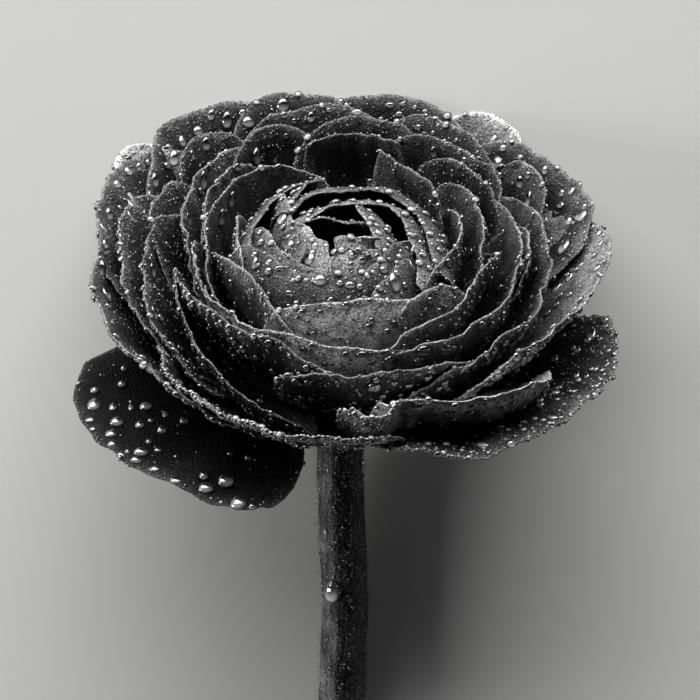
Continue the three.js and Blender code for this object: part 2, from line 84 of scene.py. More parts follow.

# Each row is one petal. span: the azimuths of its two sides, anticlockwise from the right, so 90 is the rear;
# rim: its radius at even steps between them; lift: height over the dome of rims at the two sides; lean: the
# slope of its rim, where RIM_LEAN doesn't give it; fall: the share of the length that each side curls down.
# tone: how pale it is beside its neighbours, partly its own paleness and partly painted light and shade for
# where it lies lit or in shadow, or a list of that from side to side; rim_tone: the same at its rim; fade: its
# own
# FADE; dew, mist and hang: how wet, how misted and how hung with beads it is.
OUTER = [
    {"span": (162, 242), "rim": [30, 32.2, 32.2, 31.4, 30.9, 30.8, 31, 30.8], "fall": (0.08, 0.15),
     "dew": 1.6, "mist": 0.7},
    {"span": (208, 288), "rim": [27, 28.7, 29.9, 30.1, 30.1, 30, 29.6], "lift": (-1, -1),
     "fall": (0.02, 0.12), "hang": 1},
    {"span": (126, 186), "rim": [34.3, 36, 35.9, 34.3, 32.5, 31.5, 31], "lift": (0.6, 0), "fall": (0.1, 0.12),
     "dew": 1.6, "mist": 1},
    {"span": (131, 150), "rim": [35.4, 36.8, 37.2, 35.6], "lift": (0.4, 0.4), "lean": 28, "fall": (0.1, 0.1),
     "tone": 4, "rim_tone": 4, "mist": 1},
    {"span": (98, 152), "rim": [34, 36.2, 37.3, 37, 33.4, 31.6], "lift": (1, 0.5), "tone": 0.4, "rim_tone": 1,
     "dew": 1.5, "mist": 0.8},
    {"span": (82, 122), "rim": [32.8, 33.6, 34.2, 35.2, 35, 33.6], "lift": (0.6, 0.8), "fall": (0.12, 0.15),
     "tone": 0.3, "rim_tone": 0.9, "mist": 0.7},
    {"span": (52, 108), "rim": [31.8, 33.4, 34.2, 33.9, 33.6, 33.2, 31.6], "lift": (0.6, 0.6),
     "fall": (0.1, 0.12), "tone": 0.25, "rim_tone": 0.9, "mist": 0.5},
    {"span": (42, 72), "rim": [33.6, 35.8, 36.8, 36, 33], "lean": 30, "fall": (0.06, 0.12), "tone": 3.6,
     "rim_tone": 3.6, "mist": 1},
    {"span": (8, 62), "rim": [32.4, 34.4, 35, 34, 33.8, 34.4, 33.4], "lift": (0, 0.4),
     "tone": [2.6, 1.6, 0.5, 0.3, 0.3], "rim_tone": 1, "dew": 2, "mist": 0.6},
    {"span": (304, 396), "rim": [27, 27.8, 28.7, 31.2, 34, 35, 34.6], "fall": (0.1, 0.1), "tone": 2.6,
     "fade": 5, "dew": 3, "mist": 1},
    {"span": (277, 332), "rim": [26, 26.7, 27.9, 29.6, 31, 31.6, 31.2], "lean": 72, "fall": (0.02, 0.12),
     "tone": 12, "rim_tone": 2.4, "fade": 3, "mist": 0.3},
    {"span": (268, 293), "rim": [25.2, 26.4, 27.9, 28.2, 26.7, 26.7, 27.1], "lean": 80, "fall": (0.1, 0.25),
     "tone": 9, "rim_tone": 2, "fade": 6, "dew": 2, "mist": 1, "hang": 0.5},
    {"span": (274, 362), "rim": [27, 29.2, 32.4, 33.6, 34.9, 36.2, 35.4], "lift": (-6, -6), "lean": 18,
     "fall": (0.02, 0.06), "tone": 0.6, "dew": 2.2, "mist": 0.8, "hang": 1},
    {"span": (184, 257), "rim": [33, 35.8, 35.4, 34, 32.9, 32.6, 32], "lift": (-12, -14), "lean": -12,
     "fall": (0.02, 0.05), "tone": 0.07, "rim_tone": 0.25, "dew": 0.8, "mist": 0.1},
]


def between(values, at):
    """A smooth value between evenly spaced ones, for an array of places from 0 to 1."""
    values = np.asarray(values, float)
    last = len(values) - 1
    place = np.clip(at, 0, 1) * last
    i = np.minimum(np.floor(place).astype(int), last - 1)
    p, q, r, s = (values[np.clip(i + k, 0, last)] for k in (-1, 0, 1, 2))
    t = place - i
    return q + 0.5 * t * (r - p + t * (2 * p - 5 * q + 4 * r - s + t * (3 * (q - r) + s - p)))


def dome_height(radius):
    return DOME_TOP - DOME_FALL * (radius / DOME_RADIUS) ** DOME_CURVE


def ripple(u, v, height, wavelength, seed):
    """Smooth noise of about that height over a surface, from a few seeded waves about that many mm long."""
    draw = np.random.RandomState(seed)
    total = np.zeros(np.broadcast(u, v).shape)
    waves = 7
    for _ in range(waves):
        heading = draw.uniform(0, 2 * math.pi)
        pitch = 2 * math.pi / (wavelength * draw.uniform(0.6, 1.7))
        phase = draw.uniform(0, 6.28)
        total = total + np.sin(pitch * (u * math.cos(heading) + v * math.sin(heading)) + phase)
    return height * (total / math.sqrt(waves))


def to_world(points):
    """From the bloom's own frame, with z out of its face and y to its rear, to the flower as it lies."""
    x, y, z = points[..., 0], points[..., 1], points[..., 2]
    cos, sin = math.cos(FACE_TILT), math.sin(FACE_TILT)
    return np.stack([x, y * cos + z * sin, z * cos - y * sin], -1) + EYE


def unit(vectors):
    return vectors / (np.linalg.norm(vectors, axis=-1, keepdims=True) + 1e-9)


LARGEST = 1.1  # of DOME_RADIUS, the size past which petals leave the base alike
# Where and how steeply the smallest petals leave the base, each with how much further out, lower or flatter
# those as large as DOME_RADIUS do.
ROOT_RADIUS, ROOT_SPREAD = 2.2, 3.6
ROOT_HEIGHT, ROOT_DROP = 2.6, 1.8  # above the foot of the base
ROOT_SLOPE, ROOT_OPENING = 85, 72
ROOT_SLOPE_CURVE = 0.8
ROOT_PULL = 0.45  # how far a petal keeps its first direction, as a share of its reach


def cup(azimuth, rim, lean, swell, along):
    """Points of the curves that leave the base outwards and upwards and arrive at the rim with its lean."""
    out = np.stack([np.cos(azimuth), np.sin(azimuth), np.zeros_like(azimuth)], -1)
    up = np.array([0, 0, 1.0])
    size = np.clip(np.hypot(rim[..., 0], rim[..., 1]) / DOME_RADIUS, 0, LARGEST)[..., None]
    start = out * (ROOT_RADIUS + ROOT_SPREAD * size) + up * (ROOT_HEIGHT - BASE_DEPTH - ROOT_DROP * size)
    rise = np.radians(ROOT_SLOPE - ROOT_OPENING * size**ROOT_SLOPE_CURVE)
    reach = np.linalg.norm(rim - start, axis=-1, keepdims=True)
    lean = np.radians(lean)[..., None]
    first = start + (out * np.cos(rise) + up * np.sin(rise)) * ROOT_PULL * reach
    second = rim - (out * np.cos(lean) + up * np.sin(lean)) * swell * reach
    a = along[..., None]
    return (1 - a) ** 3 * start + 3 * (1 - a) ** 2 * a * first + 3 * (1 - a) * a**2 * second + a**3 * rim


ROOT_WIDTH = 0.35  # of a petal's full width
FULL_AT = 0.72  # of its length
CORNER, CORNER_CUT = 0.2, 0.1  # the last part of the length, and how much its corners are drawn in


def spread(along):
    """A petal's side-to-side spread along its length: narrow at the root, full, and drawn in at the rim."""
    corner = np.maximum(0, (along - (1 - CORNER)) / CORNER)
    full = np.sin(np.minimum(1, along / FULL_AT) * math.pi / 2)
    return ROOT_WIDTH + (1 - ROOT_WIDTH) * full - CORNER_CUT * corner**2


# The waves of a petal, each by its height and its length in mm. Crinkles come and go in patches.
RIM_SWAY = (0.007, 7)  # in and out along the rim, as a share of the radius
RIM_NOTCHES = (0.1, 2.2)
RIM_WAVES = (0.24, 9)
RIM_CRINKLES = (0.08, 2)
RIM_PATCHES = (0.7, 13)
FACE_WAVES = (0.2, 12)
FACE_CREASES = (0.05, 2.3)
FACE_PATCHES = (0.8, 12)
EDGE_CRINKLES = (0.12, 2.8)
EDGE_PUCKERS = (0.05, 1.3)
FALL = (0.12, 0.12)  # where a row gives none
OUTER_FROM = 0.02  # the share of its length that an outer petal lacks at the root
HIDDEN_FROM = 0.3  # the same for the petals whose roots are hidden inside


def petal_form(row, along, across, seed):
    """The middle surface of a petal in the bloom's frame. A hood's rim is given as points in plan instead."""
    start, end = row["span"]
    hood = "points" in row
    at = 0.5 + 0.5 * across * (1 if hood else spread(along))
    azimuth = np.radians(start + (end - start) * at)
    if hood:
        x, y = (between(line, at) for line in zip(*row["points"]))
    else:
        radius = between(row["rim"], at)
        x, y = radius * np.cos(azimuth), radius * np.sin(azimuth)
    radius = np.hypot(x, y)
    arc = at * math.radians(end - start) * max(6, radius.mean())
    patch = np.clip(0.5 + ripple(arc, 0, *RIM_PATCHES, seed + 7), 0.1, 1.4)
    notches = patch * ripple(arc, 0, *RIM_NOTCHES, seed + 1) / (radius + 1)
    widen = 1 + ripple(arc, 0, *RIM_SWAY, seed) + notches
    first, last = row.get("lift", (0, 0))
    height = dome_height(radius) + first + (last - first) * at
    height = height + ripple(arc, 0, *RIM_WAVES, seed + 2) + patch * ripple(arc, 0, *RIM_CRINKLES, seed + 3)
    rim = np.stack([x * widen, y * widen, height], -1)
    low, high = row.get("fall", (0, 0) if hood else FALL)
    curl = 1 - np.where(across < 0, low, high) * np.abs(across) ** 3
    if "lean" in row:
        lean = np.full_like(radius, row["lean"])
    else:
        lean = between(RIM_LEAN, radius / (LEAN_STEP * (len(RIM_LEAN) - 1)))
    return cup(azimuth, rim, lean, row.get("swell", 0.4), along * curl)


def outward(surface):
    return unit(np.cross(np.gradient(surface, axis=1), np.gradient(surface, axis=0)))


def blade(middle, half):
    """A closed thin blade round a grid of points in mm, half its thickness at each: vertices and quads."""
    out = outward(middle) * half[..., None]
    count = middle.shape[0] * middle.shape[1]
    index = np.arange(count).reshape(middle.shape[:2])
    a, b, c, d = index[:-1, :-1], index[:-1, 1:], index[1:, 1:], index[1:, :-1]
    front = np.stack([a, b, c, d], -1).reshape(-1, 4)
    back = front[:, ::-1] + count
    loop = np.concatenate([index[0], index[1:, -1], index[-1, -2::-1], index[-2:0:-1, 0]])
    after = np.roll(loop, -1)
    edge = np.stack([after, loop, loop + count, after + count], -1)
    vertices = np.concatenate([(middle + out).reshape(-1, 3), (middle - out).reshape(-1, 3)])
    return vertices, np.concatenate([front, back, edge])


# how far from the rim, in mm, a petal's tone, dew and mist change
RIM_TONE_WIDTH, RIM_TONE_END = 0.3, 2
RIM_HIGHLIGHT = 0.8  # a painted highlight: how much paler the very edge is
DEW_BAND, DEW_REACH = 4, 8
MIST_REACH = 7
RIM_MIST = 0.5
HANG_WIDTH = 1.8
MIST_CLOUDS = (0.6, 4)  # how much more or less mist lies in clouds of that length in mm
FLOOR_GAP = 2  # nothing hangs under a petal that is nearer to the surface than this


def petal_values(row, middle, across, over, length, to_edge, seed):
    """What the finish and the dew read at a petal's vertices, first on its outside, then on its inside."""
    tone = row.get("tone", 1)
    rim_tone = row.get("rim_tone", np.minimum(tone, 1.2))  # a pale petal's rim is nearly as dark as others
    if isinstance(tone, list):
        tone = between(tone, 0.5 + 0.5 * across)
    inward = np.clip((to_edge - RIM_TONE_WIDTH) / (RIM_TONE_END - RIM_TONE_WIDTH), 0, 1)
    # a painted highlight along the very edge of the rim
    rim_highlight = 1 + RIM_HIGHLIGHT * np.exp(-((to_edge / RIM_TONE_WIDTH) ** 2))
    near = (0.25 + 0.75 * np.exp(-to_edge / DEW_BAND)) * np.clip(2 - to_edge / DEW_REACH, 0, 1)
    cloud = np.clip(0.75 + ripple(over, length, *MIST_CLOUDS, seed + 10), 0.1, 1.8)
    mist = 0.5 * row.get("mist", 0.2) * np.clip(2 - to_edge / MIST_REACH, 0, 1) * cloud
    values = {
        # painted light at the rim, fading into painted shade further in
        "pale": np.exp(-to_edge / row.get("fade", FADE)),
        "outside": np.ones_like(to_edge),
        "tone": (rim_tone + (tone - rim_tone) * inward) * rim_highlight,
        "dew": 0.8 * row.get("dew", 1) * near,
        "mist": mist + np.exp(-to_edge / RIM_MIST),
        "hang": row.get("hang", 0) * np.exp(-((to_edge / HANG_WIDTH) ** 2)),
    }
    values = {key: np.stack([value, value]) for key, value in values.items()}
    values["outside"][1] = 0
    above = np.clip((middle[..., 2] - FLOOR_GAP) / FLOOR_GAP, 0, 1)
    for key in ("dew", "mist", "hang"):
        values[key][0] *= above
    values["hang"][1] *= above
    upward = outward(middle)[..., 2]
    for key in ("dew", "mist"):  # dew settles thinly on what looks down
        for side, rise in enumerate((upward, -upward)):
            values[key][side] *= np.clip(1 + 2 * rise, 0.3, 1)
    return {key: value.ravel() for key, value in values.items()}


FACET = 0.4  # about how wide one quad of a petal is
PETAL_COLUMNS = (24, 140)  # the fewest and the most quads from side to side
PETAL_ROWS = 26
SIDE_CROWDING = 0.35  # how much narrower the quads are at the sides
RIM_CROWDING = 1.3  # and how much shorter near the rim
FREE_FROM = 6  # from its root, about where a petal starts to wave
CRINKLED = 1.3  # how far from the rim it is crinkled
THINNED = 1.5  # how far from the rim it is thinner


def petal_mesh(row, root_at, seed):
    """One petal: its vertices in mm, its quads, its vertices' values for the finish and its own map in mm."""
    sample = petal_form(row, *np.meshgrid([0.6, 0.8, 1], np.linspace(-1, 1, 40), indexing="ij"), seed)
    width = np.linalg.norm(np.diff(sample, axis=1), axis=-1).sum(axis=1).max()
    columns = int(np.clip(width / FACET, *PETAL_COLUMNS))
    along = root_at + (1 - root_at) * (1 - (1 - np.linspace(0, 1, PETAL_ROWS + 1)) ** RIM_CROWDING)
    across = np.linspace(-1, 1, columns + 1)
    across = SIDE_CROWDING * np.sin(across * math.pi / 2) + (1 - SIDE_CROWDING) * across
    along, across = np.meshgrid(along, across, indexing="ij")
    middle = petal_form(row, along, across, seed)
    steps = np.linalg.norm(np.diff(middle, axis=0), axis=-1)
    length = np.vstack([np.zeros(columns + 1), np.cumsum(steps, axis=0)])
    sides = np.linalg.norm(np.diff(middle, axis=1), axis=-1)
    over = np.hstack([np.zeros((PETAL_ROWS + 1, 1)), np.cumsum(sides, axis=1)])
    to_edge = np.minimum(length[-1] - length, np.minimum(over, over[:, -1:] - over))
    free = 1 - np.exp(-length / FREE_FROM)
    wave = ripple(over, length, *FACE_WAVES, seed + 4) + ripple(over, 0.2 * length, *FACE_CREASES, seed + 5)
    patch = np.clip(0.5 + ripple(over, length, *FACE_PATCHES, seed + 8), 0, 1.5)
    crinkle = patch * ripple(over, length, *EDGE_CRINKLES, seed + 6)
    crinkle = np.exp(-to_edge / CRINKLED) * (crinkle + ripple(over, length, *EDGE_PUCKERS, seed + 9))
    middle = to_world(middle + outward(middle) * (free * wave + crinkle)[..., None])
    half = 0.5 * (RIM_THICKNESS + (BODY_THICKNESS - RIM_THICKNESS) * (1 - np.exp(-to_edge / THINNED)))
    middle[..., 2] = np.maximum(middle[..., 2], half)  # the petals that the flower lies on are pressed flat
    vertices, faces = blade(middle, half)
    values = petal_values(row, middle, across, over, length, to_edge, seed)
    places = np.stack([over, length], -1).reshape(-1, 2)
    return vertices, faces, values, np.concatenate([places, places])


UV_SPAN = 100  # mm of a petal that fill its map from 0 to 1


def make_piece(name, vertices, faces, values=None, places=None):
    """A smooth object from vertices in mm, with its values as attributes and its places as its UV map."""
    mesh = bpy.data.meshes.new(name)
    faces = faces.tolist() if isinstance(faces, np.ndarray) else faces
    mesh.from_pydata((np.asarray(vertices) * MM).tolist(), [], faces)
    for key, value in (values or {}).items():
        kind, field = ("FLOAT", "value") if value.ndim == 1 else ("FLOAT_VECTOR", "vector")
        mesh.attributes.new(key, kind, "POINT").data.foreach_set(field, value.astype(np.float32).ravel())
    if places is not None:
        corners = np.zeros(len(mesh.loops), np.int32)
        mesh.loops.foreach_get("vertex_index", corners)
        uv = mesh.uv_layers.new(name="UVMap")
        uv.data.foreach_set("uv", (places[corners] / UV_SPAN).astype(np.float32).ravel())
    mesh.polygons.foreach_set("use_smooth", np.ones(len(mesh.polygons), bool))
    mesh.update()
    piece = bpy.data.objects.new(name, mesh)
    bpy.context.scene.collection.objects.link(piece)
    return piece


def together(parts):
    """Vertices and faces of several shapes as one."""
    starts = np.cumsum([0] + [len(part[0]) for part in parts])
    faces = [[start + i for i in face] for part, start in zip(parts, starts) for face in part[1]]
    return np.concatenate([part[0] for part in parts]), faces


def grow(name, rows, root_at, seed):
    """A whorl of petals as one piece."""
    parts = [petal_mesh(row, root_at, seed + 10 * i) for i, row in enumerate(rows)]
    values = {key: np.concatenate([part[2][key] for part in parts]) for key in parts[0][2]}
    return make_piece(name, *together(parts), values, np.concatenate([part[3] for part in parts]))


def colour(hex_value):
    """An sRGB hex value as linear red, green, blue and alpha."""
    parts = [int(hex_value[i : i + 2], 16) / 255 for i in (1, 3, 5)]
    return (*(p / 12.92 if p <= 0.04045 else ((p + 0.055) / 1.055) ** 2.4 for p in parts), 1)


def add(tree, kind, inputs=None, **settings):
    """A node of that kind with its settings, its inputs given as values or as the sockets that feed them."""
    made = tree.nodes.new(kind)
    for key, value in settings.items():
        setattr(made, key, value)
    for key, value in (inputs or {}).items():
        if isinstance(value, bpy.types.NodeSocket):
            tree.links.new(value, made.inputs[key])
        else:
            made.inputs[key].default_value = value
    return made


def new_material(name):
    """An empty node material and its tree."""
    material = bpy.data.materials.new(name)
    material.use_nodes = True
    material.node_tree.nodes.clear()
    return material, material.node_tree


VEIN_SPACING = 0.55  # mm, the fine veins that run the length of a petal
BLOTCH = 2.4  # mm, patches of thinner and thicker skin
GRAIN = 0.26  # mm, the pebbled surface of the skin
MIST_BEAD = 0.36  # mm, the finest beads of dew, painted as pale glints and drawn a little coarse so that they show


def petal_tissue(name, face, back, face_shade, back_shade):
    """Petal tissue, a thin skin over wet flesh: satin, pebbled and veined, charcoal in the grey photograph.

    It takes the colours of the face and of the back, and the share of each that painted shade leaves deep down,
    away from the rim. Its mist beads are painted pale, as painted glints.
    """
    material, tree = new_material(name)
    outside = add(tree, "ShaderNodeAttribute", attribute_name="outside").outputs["Fac"]
    pale = add(tree, "ShaderNodeAttribute", attribute_name="pale").outputs["Fac"]
    tone = add(tree, "ShaderNodeAttribute", attribute_name="tone").outputs["Fac"]
    wetness = add(tree, "ShaderNodeAttribute", attribute_name="mist").outputs["Fac"]
    uv = add(tree, "ShaderNodeUVMap", uv_map="UVMap").outputs["UV"]
    place = add(tree, "ShaderNodeTexCoord").outputs["Object"]
    side = add(tree, "ShaderNodeMix", {0: outside, 6: colour(face), 7: colour(back)}, data_type="RGBA")
    # painted shade: the skin darkens away from the rim, into the recesses between the petals
    left = add(tree, "ShaderNodeMix", {0: outside, 2: face_shade, 3: back_shade}).outputs[0]
    painted_depth_shade = add(tree, "ShaderNodeMapRange", {"Value": pale, 3: left, 4: 1})
    # veins: noise on the petal's own map, drawn out along its length
    fine = UV_SPAN / VEIN_SPACING
    stretched = add(tree, "ShaderNodeMapping", {"Vector": uv, "Scale": (fine, fine / 14, 1)})
    veins = add(tree, "ShaderNodeTexNoise", {"Vector": stretched.outputs[0], "Scale": 1, "Detail": 3})
    blotches = add(tree, "ShaderNodeTexNoise", {"Vector": place, "Scale": 1 / (BLOTCH * MM), "Detail": 6})
    grain = add(tree, "ShaderNodeTexNoise", {"Vector": place, "Scale": 1 / (GRAIN * MM), "Detail": 2})
    # tone: each petal's own paleness, with its painted light and shade
    shade = add(tree, "ShaderNodeMath", {0: painted_depth_shade.outputs[0], 1: tone}, operation="MULTIPLY").outputs[0]
    for pattern, (low, high, dark, light) in (
        (veins, (0.3, 0.7, 0.75, 1.25)), (blotches, (0.36, 0.64, 0.6, 1.4)), (grain, (0.32, 0.68, 0.2, 1.8)),
    ):
        factor = add(tree, "ShaderNodeMapRange", {
            "Value": pattern.outputs[0], 1: low, 2: high, 3: dark, 4: light,
        })
        shade = add(tree, "ShaderNodeMath", {0: shade, 1: factor.outputs[0]}, operation="MULTIPLY").outputs[0]
    skin = add(tree, "ShaderNodeVectorMath", {0: side.outputs[2], "Scale": shade}, operation="SCALE")
    # mist: the finest dew, one bead in some of the pattern's cells, and in most where the mist is thick; each
    # bead is painted pale, a painted glint
    cells = add(tree, "ShaderNodeTexVoronoi", {"Vector": place, "Scale": 1 / (MIST_BEAD * MM)})
    lots = add(tree, "ShaderNodeSeparateColor", {"Color": cells.outputs["Color"]}).outputs
    bare = add(tree, "ShaderNodeMapRange", {"Value": wetness, 3: 1, 4: 0.35}).outputs[0]
    size = add(tree, "ShaderNodeMapRange", {"Value": lots[0], 1: bare, 2: 1, 3: 0, 4: 0.5}).outputs[0]
    bead = add(tree, "ShaderNodeMath", {0: size, 1: cells.outputs["Distance"]}, operation="SUBTRACT",
               use_clamp=True)
    mist = add(tree, "ShaderNodeMapRange", {"Value": bead.outputs[0], 1: 0, 2: 0.16}).outputs[0]
    painted_glint = add(tree, "ShaderNodeMath", {0: lots[1], 1: tone}, operation="MULTIPLY", use_clamp=True)
    painted_glint = add(tree, "ShaderNodeMath", {0: painted_glint.outputs[0], 1: mist}, operation="MULTIPLY").outputs[0]
    painted = add(tree, "ShaderNodeMix", {0: painted_glint, 6: skin.outputs[0], 7: colour("#d0d0d0")},
                  data_type="RGBA")
    relief = add(tree, "ShaderNodeMath", {0: bead.outputs[0], 1: 3}, operation="MULTIPLY").outputs[0]
    for pattern, share in ((veins, 0.4), (blotches, 0.35), (grain, 1.2)):
        relief = add(tree, "ShaderNodeMath", {0: pattern.outputs[0], 1: share, 2: relief},
                     operation="MULTIPLY_ADD").outputs[0]
    bump = add(tree, "ShaderNodeBump", {"Height": relief, "Strength": 0.9, "Distance": 0.22 * MM}).outputs[0]
    wet = add(tree, "ShaderNodeMapRange", {"Value": mist, 3: 0.4, 4: 0.12}).outputs[0]
    shader = add(tree, "ShaderNodeBsdfPrincipled", {
        "Base Color": painted.outputs[2], "Roughness": wet, "Normal": bump, "IOR": 1.5,
        "Specular IOR Level": 0.08, "Subsurface Weight": 0.08, "Subsurface Radius": (1, 1, 1),
        "Subsurface Scale": 0.6 * MM,
    })
    add(tree, "ShaderNodeOutputMaterial", {"Surface": shader.outputs[0]})
    return material


outer_petals = grow("outer_petals", OUTER, OUTER_FROM, 100)
outer_petals.data.materials.append(petal_tissue("outer_petal_tissue", "#767676", "#444444", 0.05, 0.06))

# ---------------------------------------------------------------- second whorl
# Younger petals that stand more upright inside the bowl. One at the front left shows its whole side edge,
# which runs down and round to the front.
SECOND = [
    {"span": (138, 218), "rim": [31.5, 31.4, 30, 28, 27.8, 27.8, 27], "fall": (0.15, 0.2), "mist": 0.7},
    {"span": (132, 180), "rim": [28.6, 27.5, 26.3, 25.3, 24.6], "fall": (0.2, 0.25), "mist": 0.7},
    {"span": (144, 226), "rim": [23, 25.4, 25, 25.2, 25.9, 27, 27.6], "fall": (0.15, 0.2), "mist": 0.4},
    {"span": (184, 278), "rim": [21.2, 21, 19.9, 19.4, 19, 20.5, 22], "fall": (0.03, 0.15)},
    {"span": (186, 260), "rim": [20.9, 21.9, 22.2, 22.9, 22.9, 22.6, 22.4], "lift": (0.2, -9),
     "fall": (0, 0.05)},
    {"span": (244, 322), "rim": [21.8, 22, 22.1, 22.7, 23, 23.2, 23.2], "fall": (0.12, 0.15)},
    {"span": (286, 406), "rim": [23.9, 24.1, 25.1, 25.7, 26, 27.6, 28.8], "fall": (0.12, 0.15)},
    {"span": (340, 386), "rim": [21.9, 22.9, 23.8, 23.6, 22.2], "fall": (0.25, 0.2)},
    {"span": (20, 50), "rim": [29, 30.3, 30.2, 29], "fall": (0.2, 0.2)},
]
second_petals = grow("second_petals", SECOND, HIDDEN_FROM, 300)
second_petals.data.materials.append(petal_tissue("second_petal_tissue", "#767676", "#4c4c4c", 0.06, 0.08))

# ---------------------------------------------------------------- rear petals
# Petals of the second whorl at the rear, whose faces look to the front.
REAR = [
    {"span": (78, 124), "rim": [32, 31.7, 31.4, 29.5, 28.1], "fall": (0.08, 0.12), "mist": 0.5},
    {"span": (68, 108), "rim": [29.8, 28.6, 27.2, 25.8, 23.8], "fall": (0.08, 0.12), "mist": 0.3},
    {"span": (112, 144), "rim": [28.6, 30.6, 31, 29.6, 28], "fall": (0.15, 0.12), "mist": 0.5},
    {"span": (96, 132), "rim": [24, 26.8, 27.2, 25, 23.4], "fall": (0.1, 0.12)},
    {"span": (70, 104), "rim": [22.3, 22.6, 22.4, 21.6], "lean": 108, "fall": (0.02, 0.04), "tone": 1.3,
     "rim_tone": 1.1, "fade": 1.6, "mist": 0.1},
    {"span": (36, 84), "rim": [25, 27.8, 30.2, 31, 32.2], "fall": (0.12, 0.1), "mist": 0.4},
    {"span": (24, 82), "rim": [22.8, 25.2, 25.3, 25.7, 26], "fall": (0.12, 0.1)},
    {"span": (22, 66), "rim": [22.4, 22.6, 22.5, 22.4, 23.4], "fall": (0.12, 0.1)},
    {"span": (28, 79), "rim": [14.6, 15.2, 16.4, 17.8, 19.6], "lean": 96, "fall": (0.15, 0.02), "tone": 1.4,
     "mist": 0.5},
]
rear_petals = grow("rear_petals", [{"tone": 0.5, "rim_tone": 1, **row} for row in REAR], HIDDEN_FROM, 500)
rear_petals.data.materials.append(petal_tissue("rear_petal_tissue", "#6a6a6a", "#404040", 0.06, 0.06))

# ---------------------------------------------------------------- middle petals
# The upright petals of the middle, whose beaded rims make the rings round the heart.
MIDDLE = [
    {"span": (188, 304), "rim": [18.2, 18.2, 18.3, 18, 17.9, 18.1, 18.2, 17.5], "fall": (0.1, 0.12),
     "tone": 7, "rim_tone": 1.3, "mist": 0.3},
    {"span": (280, 412), "rim": [18, 18.8, 20.6, 21.9, 21.9, 22.1, 22.6, 23.7, 25], "fall": (0.1, 0.15)},
    {"span": (284, 380), "rim": [18.2, 17, 17.6, 17.5, 17.7, 19.2, 19.6], "fall": (0.05, 0.2)},
    {"span": (338, 416), "rim": [17, 17.1, 17.6, 18.6, 20.2, 20.5], "fall": (0.2, 0.12)},
    {"span": (316, 402), "rim": [11.7, 12, 12.5, 13.8, 15.2, 16.4, 16.5], "fall": (0.1, 0.12)},
    {"span": (160, 212), "rim": [18.4, 18.7, 18.8, 18.5], "fall": (0.3, 0.2)},
    {"span": (94, 210), "rim": [14.8, 17.7, 18.4, 18.4, 18, 17.3, 17.2, 17.4], "fall": (0.1, 0.15)},
    {"span": (110, 180), "rim": [24.2, 22.3, 21.4, 19.7, 18.6, 18.1], "fall": (0.2, 0.2)},
    {"span": (104, 196), "rim": [27.9, 27, 25, 22.8, 21, 19.9, 19.2], "fall": (0.12, 0.2)},
    {"span": (170, 248), "rim": [17, 15.2, 13.3, 13, 13.9, 15], "fall": (0.1, 0.1)},
]
middle_petals = grow("middle_petals", [{"fade": 3.2, **row} for row in MIDDLE], HIDDEN_FROM, 700)
middle_petals.data.materials.append(petal_tissue("middle_petal_tissue", "#767676", "#787878", 0.07, 0.3))

